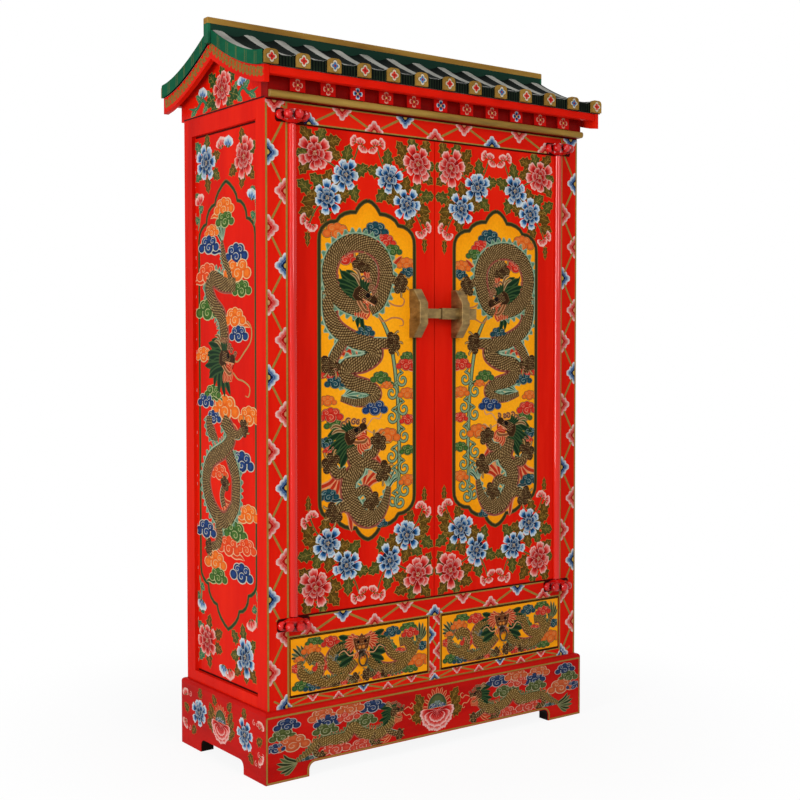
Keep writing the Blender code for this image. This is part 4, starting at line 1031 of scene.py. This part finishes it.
def door_corner(coat, side, level):
    """Peonies with their stems, leaves and buds in one corner of a door, drawn for the upper right one."""

    def put(u, v):
        return leaf_middle + side * u / 1000, door_middle + level * (v / 1000 - door_middle)

    for stem in corner_stems:
        line = curve([put(*spot) for spot in stem], 0.012)
        stroke(coat, line, corner_stem, tone(58, 84, 40), 0.00018, rim=tone(120, 110, 56))
    for u, v in corner_leaves:
        near = min(corner_flowers, key=lambda flower: math.dist(flower[:2], (u, v)))
        a, b = put(*near[:2]), put(u, v)
        angle = math.atan2(b[1] - a[1], b[0] - a[0]) + 0.35 * math.sin(u + v)
        hues = green_leaf if u % 3 == 0 else olive_leaf
        leaf(coat, *ahead(*b, angle, leaf_back), angle, corner_leaf_long, corner_leaf_wide, hues)
    for u, v, turn in corner_buds:
        angle = math.atan2(level * math.sin(turn), side * math.cos(turn))
        bud(coat, *ahead(*put(u, v), angle, bud_back), angle, corner_bud, pink_hues)
    leaf(coat, *put(193, 1440), -level * math.pi / 2, 0.044, 0.020, olive_leaf)
    for i, (u, v, size, colour) in enumerate(corner_flowers):
        peony(coat, *put(u, v), size / 1000, flower_hues[colour], 0.9 * i + side + 0.4 * level)


vine_hues = (tone(60, 66, 40), tone(128, 152, 116))
vine_middle, vine_wide, curl_wide, curl_size = 0.125, 0.0135, 0.0098, 0.021
vine_curls = (
    (112, 1044), (149, 1009), (108, 964), (148, 942), (106, 888), (150, 834), (106, 800), (148, 780),
    (104, 738), (146, 712), (120, 706),
)
door_clouds = (
    (329, 1440, 34, "orange"), (203, 1452, 32, "teal"), (171, 1424, 28, "red"), (146, 1400, 24, "green"),
    (98, 1364, 26, "orange"), (92, 1342, 22, "teal"), (303, 1372, 30, "red"), (238, 1176, 24, "teal"),
    (100, 1086, 26, "red"), (96, 1110, 18, "green"), (350, 1064, 28, "red"), (336, 1040, 26, "teal"),
    (186, 1050, 26, "green"), (166, 1030, 16, "orange"), (360, 991, 22, "orange"), (350, 952, 30, "red"),
    (340, 928, 24, "green"), (364, 878, 24, "teal"), (352, 860, 18, "red"), (163, 890, 32, "orange"),
    (96, 1006, 24, "orange"), (94, 933, 22, "red"), (94, 848, 22, "green"), (94, 764, 24, "orange"),
    (358, 738, 26, "teal"), (206, 968, 32, "blue"), (228, 650, 16, "green"), (190, 652, 20, "teal"),
)
field_edge = tone(72, 48, 22)
field_hues = {
    "orange": (tone(206, 140, 76), tone(206, 82, 26), tone(222, 112, 42)),
    "red": (tone(214, 138, 108), tone(178, 26, 20), tone(204, 54, 40)),
    "blue": (tone(150, 158, 160), tone(20, 38, 76), tone(34, 64, 112)),
    "green": (tone(140, 144, 90), tone(40, 72, 30), tone(64, 102, 46)),
    "teal": (tone(132, 150, 142), tone(18, 46, 54), tone(32, 72, 80)),
}


def door_painting(coat):
    """Painting of one door, measured from the seam outward: field, corners, vine, dragons and clouds."""
    coat.limits = (0.0018, 0.4306, 0.4564, 1.7098)
    ring = [(leaf_middle + u, v) for u, v in outline_of(field_half, field_middle)]
    field_lift = 0.00012
    layers = [(share, tint, field_lift) for share, tint in zip((1.0, 0.9, 0.5), ochre)]
    coat.mound(ring, layers, (leaf_middle, field_middle))
    stroke(coat, ring + ring[:1], field_line, tone(44, 44, 24), 0.0003, rim=tone(92, 80, 36))
    for side in (-1, 1):
        for level in (-1, 1):
            door_corner(coat, side, level)
    coat.limits = (leaf_middle - 0.1515, 0.612, leaf_middle + 0.1515, 1.530)
    vine = [(214, 1238), (182, 1208), (155, 1155), (140, 1085), (134, 1040)]
    vine += [(129, 1006), (125, 913), (123, 819), (128, 735)]
    stroke(coat, curve(mm(vine), 0.012), vine_wide, vine_hues[1], 0.0003, (0.4, 0.6), vine_hues[0])
    for u, v in mm(vine_curls):
        hand = 1 if u > vine_middle else -1
        curl = swirl(u, v, curl_size, 1.3, math.pi / 2, hand, 16)
        line = curve([(0.126, v + 0.034), (u - hand * 0.004, v + 0.022), *curl], 0.005)
        stroke(coat, line, curl_wide, vine_hues[1], 0.00034, (0.4, 0.5), vine_hues[0])
    winding = [(350, 1330), (354, 1240), (335, 1189), (278, 1155), (222, 1142), (203, 1116), (241, 1092)]
    winding += [(293, 1084), (308, 1062), (279, 1038), (229, 1027)]
    winding += [(200, 1008), (222, 990), (268, 986), (318, 998)]
    paw(coat, mm([(310, 1150), (330, 1124), (346, 1098)]), 0.036)
    paw(coat, mm([(210, 1146), (182, 1146), (158, 1146)]), 0.034, -1)
    paw(coat, mm([(185, 1340), (154, 1326), (130, 1314)]), 0.032)
    tail_tuft(coat, 0.312, 0.997, 2.9, 0.056)
    scaled_body(coat, mm(winding), 0.054, slim=(1.0, 0.3))
    circle = [(225, 1238), (193, 1262), (170, 1316), (175, 1370), (214, 1407), (277, 1416), (329, 1390)]
    circle += [(353, 1344), (347, 1299), (316, 1260), (266, 1239), (236, 1250)]
    inner_coil = [(246, 1290), (217, 1303), (210, 1336), (224, 1366), (262, 1382)]
    scaled_body(coat, mm(inner_coil), 0.034, 0.0005, 1, (0.9, 0.6), None)
    scaled_body(coat, mm(circle), 0.056, 0.0006, 1, (0.8, 0.7))
    low_body = [(282, 866), (272, 836), (262, 808), (290, 778), (292, 736)]
    low_body += [(274, 703), (246, 672), (203, 672), (174, 705), (160, 752)]
    paw(coat, mm([(250, 820), (216, 816), (190, 800)]), 0.034)
    paw(coat, mm([(300, 800), (330, 796), (344, 816)]), 0.034)
    paw(coat, mm([(270, 740), (238, 746), (224, 724)]), 0.032)
    paw(coat, mm([(286, 700), (312, 708), (330, 698)]), 0.034)
    paw(coat, mm([(246, 840), (214, 846), (200, 866)]), 0.032, -1)
    scaled_body(coat, mm(low_body), 0.057, 0.0007, -1, (0.8, 0.3))
    tail_tuft(coat, 0.160, 0.748, 1.7, 0.050)
    cloud_bank(coat, door_clouds, 1.06, 4, 0.00055, 1.3, field_hues, field_edge)
    for k in range(3):
        lock(coat, mm([(246, 1352), (226 + 6 * k, 1330), (214 + 9 * k, 1300)]), 0.011, flame_hues, 0.0006)
    claw(coat, 0.252, 1.346, 1.9, 0.036)
    mane = [(322, 1346), (300, 1338), (316, 1312), (310, 1290), (306, 1266)]
    mane += [(300, 1246), (292, 1226), (278, 1202), (262, 1184), (240, 1172)]
    for u, v in mm(mane):
        bend = ((u + 0.262) / 2, (v + 1.266) / 2 - 0.004)
        lock(coat, [(0.244, 1.266), bend, (u, v)], 0.0145, mane_hues, 0.00072)
    head(coat, 0.246, 1.270, 0.080, math.pi + 0.55, -1, False)
    head(coat, 0.274, 0.896, 0.078, math.pi - 0.35, -1)
    for path in (
        [(200, 1262), (170, 1262), (140, 1250), (113, 1250), (106, 1266), (120, 1274)],
        [(204, 1236), (180, 1206), (146, 1216), (114, 1212), (110, 1196), (124, 1194)],
    ):
        stroke(coat, curve(mm(path), 0.006), 0.0045, tone(186, 120, 70), 0.0005, (1.0, 0.3))


for hand, side in both_sides:
    painting = front_coat(f"{hand}_door_leaf", way=side)
    door_painting(painting)
    painting.dry(f"{hand}_door_painting", door_paint, f"{hand}_door")

# Latch: a faceted bracket on each door, a tongue on the left one and a sliding sleeve through the right one.
# All are cast brass, filed flat and gone dull brown-gold with handling.

brass_tones = [tone(92, 70, 36), tone(128, 102, 56), tone(160, 132, 78)]
latch_brass = finish("latch_brass", brass_tones, (26.0, 26.0, 60.0), (0.34, 0.52), 0.2, 0.55)
dress(latch_brass, "left_latch_bracket", "right_latch_bracket", "latch_tongue", "latch_sleeve")

# Drawer fronts: boards lacquered ochre, each with a dragon seen from the front among clouds, its body coiling
# to both sides of the pull, and a thin dark line round the edge.

front_tones = [tone(226, 134, 8), tone(246, 158, 16), tone(250, 168, 26)]
drawer_ochre = lacquer("drawer_ochre", (2.0, 9.0, 14.0), (0.26, 0.42), 0.06, front_tones)
dress(drawer_ochre, "left_drawer_front", "right_drawer_front")
golden = (tone(84, 58, 24), tone(208, 168, 92))
drawer_coils = (
    ([(-200, 308), (-194, 276), (-168, 256), (-138, 268), (-132, 298), (-154, 316), (-176, 302)],
     0.032, 0.00045, 1, (0.4, 0.9)),
    ([(-54, 330), (-84, 322), (-102, 298), (-86, 272), (-52, 264), (-22, 286)],
     0.036, 0.00045, 1, (0.6, 0.9)),
    ([(-164, 254), (-124, 239), (-84, 240), (-44, 252)],
     0.030, 0.0005, 1, (0.9, 0.9)),
    ([(24, 286), (52, 258), (96, 246), (142, 254), (168, 286), (154, 314), (128, 312)],
     0.036, 0.00045, -1, (0.9, 0.6)),
    ([(52, 330), (84, 320), (98, 292), (128, 274), (172, 276), (200, 316)],
     0.030, 0.00045, 1, (0.6, 0.3)),
)
drawer_paws = (
    ([(-60, 260), (-46, 240), (-30, 236)], 1), ([(60, 258), (40, 240), (24, 240)], -1),
    ([(-120, 256), (-108, 236), (-92, 232)], 1), ([(112, 256), (100, 238), (86, 238)], -1),
)
drawer_clouds = (
    (-153, 353, 24, "green"), (-163, 334, 26, "orange"), (-101, 345, 26, "red"), (-126, 284, 28, "red"),
    (-93, 300, 20, "teal"), (159, 354, 24, "green"), (165, 336, 26, "red"), (104, 346, 25, "teal"),
    (208, 292, 22, "teal"), (127, 284, 24, "red"), (-210, 288, 20, "red"), (-194, 240, 24, "green"),
    (-160, 234, 24, "teal"), (-57, 231, 25, "red"), (-32, 226, 14, "green"), (196, 252, 32, "orange"),
    (168, 233, 20, "green"), (66, 231, 25, "red"), (93, 304, 22, "green"), (-12, 228, 12, "orange"),
    (62, 345, 18, "orange"), (-200, 312, 14, "orange"),
)


def drawer_painting(coat):
    """Painting of one drawer front: edge line, coils, legs and clouds, then the face above the pull."""
    left, low, right, high = -0.2272, 0.2186, 0.2272, 0.3695
    rim = [(left, low), (right, low), (right, high), (left, high), (left, low)]
    zigzag(coat, rim, 0.0022, tone(30, 16, 6), 0.0002)
    coat.limits = (-0.2235, 0.2225, 0.2235, 0.3655)
    tail_tuft(coat, -0.186, 0.300, 1.95, 0.052, old_fins)
    tail_tuft(coat, 0.192, 0.306, 1.2, 0.052, old_fins)
    for coil, width, lift, back, slim in drawer_coils:
        scaled_body(coat, mm(coil), width, lift, back, slim, old_fins, golden)
    for path, hand in drawer_paws:
        paw(coat, mm(path), 0.020, hand)
    cloud_bank(coat, drawer_clouds, 0.95, 0, 0.00055, 1.3, field_hues, field_edge)
    for side in (-1, 1):
        for k in range(6):
            y = 0.345 - 0.013 * k
            bend = (side * 0.052, y + 0.004 - 0.003 * k)
            tip = (side * (0.088 - 0.006 * abs(k - 2)), y + 0.012 - 0.008 * k)
            lock(coat, [(side * 0.026, y), bend, tip], 0.017, mane_hues, 0.0008)
        for k in range(7):
            turn = math.pi / 2 - side * (0.25 + 0.36 * k)
            root = (side * 0.018, 0.332)
            bend = (root[0] + 0.020 * math.cos(turn), root[1] + 0.018 * math.sin(turn))
            turn -= 0.2 * side
            tip = (root[0] + 0.040 * math.cos(turn), root[1] + 0.030 * math.sin(turn))
            lock(coat, [root, bend, tip], 0.0085, flame_hues, 0.0010)
        whisker = [(side * 0.016, 0.306), (side * 0.040, 0.300), (side * 0.058, 0.316), (side * 0.076, 0.308)]
        stroke(coat, curve(whisker, 0.005), 0.003, tone(206, 150, 104), 0.0012, (1.0, 0.3))
    face = [(-26, 330), (-30, 344), (-20, 354), (-7, 350), (0, 357), (7, 350), (20, 354), (30, 344)]
    face += [(26, 330), (22, 314), (14, 304), (0, 300), (-14, 304), (-22, 314)]
    skin, cheek = tone(84, 46, 22), tone(112, 62, 30)
    coat.mound(mm(face), [(1.0, flame_hues[0], 0.0011), (0.92, skin, 0.00115), (0.4, cheek, 0.0014)])
    for k in range(45):
        x, y = 0.0056 * (k % 9 - 4 + 0.5 * (k // 9 % 2)), 0.312 + 0.008 * (k // 9)
        if abs(x) < 0.017 + 0.2 * (y - 0.312):
            dot(coat, x, y, 0.0013, scale_light if k % 3 else belly_rim, 0.00142, 4)
    for side in (-1, 1):
        for k in range(3):
            bend = (side * (0.014 + 0.004 * k), 0.345 + 0.003 * k)
            tip = (side * (0.022 + 0.006 * k), 0.350 - 0.003 * k)
            lock(coat, [(side * 0.006, 0.338), bend, tip], 0.005, flame_hues, 0.0014)
        dot(coat, side * 0.0115, 0.334, 0.0046, tone(20, 12, 8), 0.00176, 12)
        dot(coat, side * 0.0115, 0.334, 0.0034, tone(226, 212, 184), 0.00186, 12)
        dot(coat, side * 0.0110, 0.3335, 0.0020, tone(12, 9, 8), 0.00206, 9)
        dot(coat, side * 0.006, 0.319, 0.0045, tone(214, 130, 50), 0.0016, 9)
    mouth = [(-15, 310), (15, 310), (11, 303), (-11, 303)]
    coat.mound(mm(mouth), [(1.0, tone(120, 16, 12), 0.0015), (0.7, tone(190, 40, 26), 0.00155)])
    for k in range(6):
        x = -0.0115 + 0.0046 * k
        tooth = [(x - 0.0016, 0.3102), (x + 0.0016, 0.3102), (x, 0.3064)]
        coat.mound(tooth, [(1.0, tone(240, 232, 214), 0.0017)])
    for k in range(7):
        x = -0.018 + 0.006 * k
        lock(coat, [(x, 0.304), (x * 1.3, 0.294), (x * 1.7, 0.284 + abs(x) * 0.3)], 0.005, flame_hues, 0.0009)


drawer_paint = painted_finish("drawer_paint", (0.3, 0.5), 0.22)
drawer_middle = 0.2525
for hand, side in both_sides:
    painting = front_coat(f"{hand}_drawer_front", side * drawer_middle)
    drawer_painting(painting)
    painting.dry(f"{hand}_drawer_painting", drawer_paint, f"{hand}_drawer")

# Drop pulls: round plates with an eye and an oval drop, forged from iron and pinned together.
# The iron is dark, with traces of old plating on the raised spots.

iron_tones = [tone(38, 32, 26), tone(66, 54, 40), tone(104, 84, 56)]
pull_iron = finish("pull_iron", iron_tones, (160.0, 160.0, 160.0), (0.36, 0.56), 0.3, 0.8)
for hand in ("left", "right"):
    dress(pull_iron, f"{hand}_pull_plate", f"{hand}_pull_drop")

# Gables: triangular boards above the side frames, lacquered red, each with a pink peony, its leaves
# and two green scrolling sprays with a blue bud brushed on in the middle.

dress(level_lacquer, "left_gable_panel", "right_gable_panel")
spray_leaf = [teal_leaf[0], teal_leaf[2], teal_leaf[2]]
gable_leaf = [green_leaf[0], tone(28, 58, 26), tone(46, 76, 34)]
for hand, side in both_sides:
    gable = side_coat(f"{hand}_gable_panel", side)
    gable.limits = (-0.2232, 1.7712, 0.2232, 1.95)
    stroke(gable, [(-0.222, 1.7732), (0.222, 1.7732)], 0.0042, tone(60, 8, 5), 0.0002)
    gable.limits = (-0.2232, 1.7765, 0.2232, 1.95)
    for way in (-1, 1):
        spray = [(0.040, 1.812), (0.078, 1.796), (0.112, 1.814), (0.146, 1.794), (0.192, 1.802)]
        line = curve([(way * u, v) for u, v in spray], 0.008)
        stroke(gable, line, 0.0105, teal_leaf[2], 0.0003, (0.8, 0.1), teal_leaf[1])
        for u, v, turn in (
            (0.078, 1.800, -0.6), (0.116, 1.812, 0.5), (0.146, 1.796, -0.5), (0.060, 1.806, 0.9),
        ):
            leaf(gable, way * u, v, turn if way > 0 else math.pi - turn, 0.040, 0.024, spray_leaf)
        bud(gable, way * 0.112, 1.818, math.pi / 2 + way * 0.2, 0.032, blue_hues)
        for u, v, turn in ((0.034, 1.842, 0.7), (0.040, 1.812, -0.3), (0.030, 1.802, -1.0)):
            leaf(gable, way * u, v, turn if way > 0 else math.pi - turn, 0.056, 0.046, gable_leaf)
    leaf(gable, 0.0, 1.862, math.pi / 2, 0.036, 0.034, gable_leaf)
    peony(gable, 0.0, 1.828, 0.049, pink_hues, 0.5)
    gable.dry(f"{hand}_gable_painting", panel_paint, "case")

# Bargeboards: curved boards that close the ends of the roof under the tiles, sawn from one plank each side
# and lacquered red. A row of gilt cloud scrolls is brushed along their upper part.


def tile_bed(y):
    """Height of the tile pans at a distance from the ridge."""
    eaves_height, eaves_out, rise, run, hollow = 1.868, 0.281, 0.101, 0.269, 1.6
    return eaves_height + rise * max(0.0, (eaves_out - abs(y)) / run) ** hollow


barge_lacquer = lacquer("bargeboard_lacquer", (9.0, 3.0, 3.0), (0.26, 0.4), 0.06)
dress(barge_lacquer, "left_bargeboard", "right_bargeboard")
scroll_pitch, scroll_drop = 0.0176, 0.0455
scroll_gilt = tone(136, 106, 44)
for hand, side in both_sides:
    scrolls = side_coat(f"{hand}_bargeboard", side)
    for k in range(-15, 16):
        u = scroll_pitch * k
        v = tile_bed(u) - scroll_drop
        for rise in (0.0058, -0.0050):
            way = 1 if (k + (rise > 0)) % 2 else -1
            ring = swirl(u + way * 0.002, v + rise, 0.0072, 1.3, math.pi * (0.5 - 0.25 * way), way, 14)
            stroke(scrolls, ring, 0.0050, scroll_gilt, 0.0003, (0.9, 0.7))
        for rise in (0.0075, -0.0070):
            dot(scrolls, u + scroll_pitch / 2, v + rise, 0.0026, scroll_gilt, 0.0003, 6)
    scrolls.dry(f"{hand}_bargeboard_scrolls", frame_paint, "case")

# Roof tiles: carved boards that stand for rows of tiles. The round tiles are painted silver grey, the pans
# between them black-green with a pale edge and the sides green with gilt lines. Each round end is gilt, with
# a small flower in the middle.

tile_tones = [tone(3, 5, 4), tone(6, 11, 9), tone(11, 21, 16)]
tile_paint = finish("roof_tile_paint", tile_tones, (14.0, 5.0, 14.0), (0.5, 0.7), 0.2, shine=0.02)
verge_green = (tone(10, 66, 44), tone(26, 96, 66))
tile_pitch, roll_half, cap_half, cap_middle, heart_half = 0.0946667, 0.0166, 0.0205, 1.8600, 0.0034
lip_front, pan_front, cap_back, cap_front, verge_out = 0.2762, 0.2806, 0.2813, 0.2896, 0.5897
stripe_rate, stripe_edge, rolls_each_side = 700.0, 0.9, 6.0
petal_least, petal_swing, petal_shade, inner_share = 0.0086, 0.0062, 0.0016, 0.66
tiles = Pattern(tile_paint.node_tree)
x, y, z = tiles.places()
across = tiles.step("WRAP", x, tile_pitch / 2, -tile_pitch / 2)
from_roll = tiles.step("ABSOLUTE", across)
out_front = tiles.step("ABSOLUTE", y)
silver = tiles.wash(tone(112, 112, 106), tone(170, 168, 160))
surface = tiles.two_tone(tiles.step("LESS_THAN", from_roll, roll_half), tiles.ground(), silver)
off_roll = tiles.step("GREATER_THAN", from_roll, roll_half)
lip = tiles.step("MULTIPLY", tiles.step("GREATER_THAN", out_front, lip_front), off_roll)
surface = tiles.two_tone(lip, surface, tiles.wash(tone(150, 150, 142), tone(206, 206, 198)))
stripes = tiles.step("GREATER_THAN", tiles.step("SINE", tiles.step("MULTIPLY", x, stripe_rate)), stripe_edge)
pan_end = tiles.two_tone(stripes, tiles.ground(), tiles.wash(tone(34, 44, 30), tone(58, 70, 48)))
surface = tiles.two_tone(tiles.step("GREATER_THAN", out_front, pan_front), surface, pan_end)
near_roll = tiles.step("LESS_THAN", from_roll, cap_half)
cap = tiles.step("MULTIPLY", tiles.step("GREATER_THAN", out_front, cap_back), near_roll)
surface = tiles.two_tone(cap, surface, tiles.wash(tone(120, 88, 34), tone(164, 126, 58)))
rise = tiles.step("SUBTRACT", z, cap_middle)
squares = tiles.step("ADD", tiles.step("MULTIPLY", across, across), tiles.step("MULTIPLY", rise, rise))
reach = tiles.step("SQRT", squares)
twice_round = tiles.step("MULTIPLY", tiles.step("ARCTAN2", rise, across), 2.0)
swing = tiles.step("ABSOLUTE", tiles.step("COSINE", twice_round))
petal_end = tiles.step("MULTIPLY_ADD", swing, petal_swing, petal_least)
from_middle = tiles.step("FLOOR", tiles.step("MULTIPLY_ADD", x, 1 / tile_pitch, 0.5))
number = tiles.step("ADD", from_middle, rolls_each_side)
every_third = tiles.step("COMPARE", tiles.step("MODULO", number, 3.0), 2.0, 0.4)
red_petals = tiles.wash(tone(176, 28, 26), tone(200, 52, 46))
blue_petals = tiles.wash(tone(40, 84, 130), tone(70, 120, 164))
flower = tiles.two_tone(every_third, red_petals, blue_petals)
heart = tiles.step("LESS_THAN", reach, heart_half)
flower = tiles.two_tone(heart, flower, tiles.wash(tone(120, 16, 14), tone(150, 60, 40)))
inner = tiles.step("LESS_THAN", reach, tiles.step("MULTIPLY", petal_end, inner_share))
flower = tiles.two_tone(inner, tiles.wash(tone(172, 156, 128), tone(208, 194, 170)), flower)
on_face = tiles.step("GREATER_THAN", out_front, cap_front)
in_flower = tiles.step("MULTIPLY", on_face, tiles.step("LESS_THAN", reach, petal_end))
in_shade = tiles.step("LESS_THAN", reach, tiles.step("ADD", petal_end, petal_shade))
shade = tiles.step("MULTIPLY", on_face, in_shade)
surface = tiles.two_tone(shade, surface, tiles.wash(tone(74, 50, 18), tone(96, 66, 26)))
surface = tiles.two_tone(in_flower, surface, flower)
at_side = tiles.step("GREATER_THAN", tiles.step("ABSOLUTE", x), verge_out)
tiles.show(tiles.two_tone(at_side, surface, tiles.wash(*verge_green)))
dress(tile_paint, "front_roof_tiles", "back_roof_tiles")

verge_pitch, verge_drop, verge_tall = 0.0480, 0.0262, 0.032
for hand, side in both_sides:
    verge_lines = side_coat("front_roof_tiles", side)
    for k in range(-6, 7):
        for shift, wide in ((0.0, 0.0013), (0.009 if k % 3 else 0.005, 0.0009)):
            u = verge_pitch * k + shift + 0.004 * math.sin(3.1 * k)
            if 0.014 < abs(u) < 0.279:
                low = tile_bed(u) - verge_drop
                stroke(verge_lines, [(u, low), (u, low + verge_tall)], wide, tone(122, 116, 62), 0.0002)
    verge_lines.dry(f"{hand}_verge_lines", frame_paint, "case")

# Ridge: one squared board along the top, tenoned between the two tile boards. It is painted dark green below
# and gilt over brown along its upper edge, rubbed through in places.

ridge_tones = [tone(104, 68, 26), tone(146, 108, 44), tone(166, 130, 60)]
ridge_paint = finish("ridge_paint", ridge_tones, (3.0, 20.0, 26.0), (0.4, 0.6), 0.18, shine=0.06)
ridge = Pattern(ridge_paint.node_tree)
gilt_above, end_out = 1.9935, 0.591
x, _, z = ridge.places()
at_end = ridge.step("GREATER_THAN", ridge.step("ABSOLUTE", x), end_out)
lower = ridge.two_tone(at_end, ridge.wash(tone(8, 34, 25), tone(16, 52, 38)), ridge.wash(*verge_green))
ridge.show(ridge.two_tone(ridge.step("LESS_THAN", z, gilt_above), ridge.ground(), lower))
dress(ridge_paint, "ridge_board")

# Eaves: the red fascia under the tile ends, the plain board behind, and the frieze with its row of square
# dentils cut from the same plank. A small four-petalled flower is brushed on the face of each dentil.

dress(level_lacquer, "front_fascia", "back_eaves_board")
frieze_tones = [tone(150, 10, 8), tone(188, 14, 9), tone(206, 22, 14)]
frieze_lacquer = lacquer("frieze_lacquer", (3.0, 12.0, 12.0), (0.26, 0.4), 0.06, frieze_tones)
dentil_pitch, dentil_middle, dentil_back = 0.0935, 1.8062, -0.2490
frieze = Pattern(frieze_lacquer.node_tree)
_, y, _ = frieze.places()
# Painted shade: the set-back faces between the dentils are coloured a darker red.
set_back = frieze.step("GREATER_THAN", y, dentil_back)
frieze.show(frieze.two_tone(set_back, frieze.ground(), frieze.wash(tone(104, 8, 6), tone(146, 12, 8))))
dress(frieze_lacquer, "dentil_frieze")
dusty_pink = [tone(204, 176, 150), tone(196, 108, 88), tone(190, 40, 32), tone(150, 20, 16)]
dentil_petal, dentil_petal_wide, dentil_heart = 0.0155, 0.0150, 0.0030
dentils = front_coat("dentil_frieze")
for k in range(11):
    u = (k - 5) * dentil_pitch
    for turn in range(4):
        hues = blue_hues if k % 3 == 2 else dusty_pink
        petal(dentils, u, dentil_middle, math.pi / 2 * turn, dentil_petal, dentil_petal_wide, hues, 0.0003)
    dot(dentils, u, dentil_middle, dentil_heart, tone(214, 176, 104), 0.0005, 9)
dentils.dry("dentil_flowers", frame_paint, "case")

# Cornice: a half-round moulding planted on the frieze with glue, just above the face frame.
# It is gilt over a brown ground, and its ends are returned against the case.

gilt_tones = [tone(110, 82, 34), tone(150, 118, 50), tone(170, 138, 66)]
cornice_gilt = finish("cornice_gilt", gilt_tones, (4.0, 30.0, 30.0), (0.34, 0.5), 0.15, shine=0.12)
dress(cornice_gilt, "cornice_moulding")

# Studio: a pale seamless floor under soft light from large lamps, seen from the left of the front.
# The paper fades into the white of the room away from the object and keeps its shadow close by.

floor_size = 14.0
floor_mesh = bpy.data.meshes.new("studio_floor")
corners = [(a * floor_size, b * floor_size, 0) for a, b in ((-1, -1), (1, -1), (1, 1), (-1, 1))]
floor_mesh.from_pydata(corners, [], [(0, 1, 2, 3)])
floor = bpy.data.objects.new("studio_floor", floor_mesh)
bpy.context.scene.collection.objects.link(floor)


def seen_white(tree, plain, end, share=None):
    """Mixes plain white into a surface for what the eye, a mirror or glass sees of it."""
    wiring = Pattern(tree)
    path = add(tree, "LightPath")
    total = path.outputs["Is Camera Ray"]
    for ray in ("Is Glossy Ray", "Is Transmission Ray"):
        total = wiring.step("MAXIMUM", total, path.outputs[ray])
    if share is not None:
        total = wiring.step("MULTIPLY", total, share)
    kind = "Background" if share is None else "Emission"
    white = add(tree, kind, Color=(1.0, 1.0, 1.0, 1.0), Strength=1.0)
    mix = add(tree, "MixShader")
    for socket, wire in enumerate((total, plain, white.outputs[0])):
        tree.links.new(wire, mix.inputs[socket])
    tree.links.new(mix.outputs[0], end)


paper, tree, sheet = bare_look("studio_paper")
sheet.inputs["Roughness"].default_value = 0.9
sheet.inputs["Specular IOR Level"].default_value = 0.0
fibres = add(tree, "TexNoise", Scale=90.0)
paper_white = add(tree, "ValToRGB")
for stop, level in zip(paper_white.color_ramp.elements, (0.90, 0.93)):
    stop.color = (level, level, level, 1.0)
tree.links.new(fibres.outputs[0], paper_white.inputs[0])
tree.links.new(paper_white.outputs["Color"], sheet.inputs["Base Color"])
ground = add(tree, "TexCoord")
span = add(tree, "VectorMath")
span.operation = "LENGTH"
tree.links.new(ground.outputs["Object"], span.inputs[0])
fade = add(tree, "MapRange", From_Min=0.5, From_Max=1.5, To_Min=0.9, To_Max=1.0)
fade.interpolation_type = "SMOOTHSTEP"
tree.links.new(span.outputs["Value"], fade.inputs["Value"])
seen_white(tree, sheet.outputs[0], tree.nodes["Material Output"].inputs["Surface"], fade.outputs["Result"])
floor_mesh.materials.append(paper)

studio = bpy.data.worlds.new("studio")
bpy.context.scene.world = studio
studio.use_nodes = True
tree = studio.node_tree
room = tree.nodes["Background"]
room.inputs["Color"].default_value = (1.0, 1.0, 1.0, 1.0)
room.inputs["Strength"].default_value = 0.34
seen_white(tree, room.outputs[0], tree.nodes["World Output"].inputs["Surface"])

for name, place, aim, size, watts in (
    ("front_softbox", (-0.4, -3.6, 2.6), (0.1, 0.0, 0.95), (0.8, 2.4), 52.0),
    ("left_softbox", (-3.4, -0.9, 1.6), (0.0, 0.0, 1.0), (0.7, 2.4), 66.0),
    ("top_softbox", (0.0, -0.6, 4.2), (0.0, 0.0, 1.0), (2.6, 2.6), 26.0),
):
    lamp = bpy.data.lights.new(name, "AREA")
    lamp.shape = "RECTANGLE"
    lamp.size, lamp.size_y = size
    lamp.energy = watts
    holder = bpy.data.objects.new(name, lamp)
    holder.location = place
    holder.rotation_euler = (Vector(aim) - Vector(place)).to_track_quat("-Z", "Y").to_euler()
    bpy.context.scene.collection.objects.link(holder)

lens = bpy.data.cameras.new("camera")
lens.sensor_width = 36.0
lens.lens = 57.82
camera = bpy.data.objects.new("camera", lens)
camera.location = (-2.2331, -3.0801, 1.1295)
turn, dip = math.radians(36.4696), math.radians(-2.2636)
forward = Vector((math.sin(turn) * math.cos(dip), math.cos(turn) * math.cos(dip), math.sin(dip)))
camera.rotation_euler = forward.to_track_quat("-Z", "Y").to_euler()
bpy.context.scene.collection.objects.link(camera)
bpy.context.scene.camera = camera
bpy.context.scene.view_settings.view_transform = "Standard"
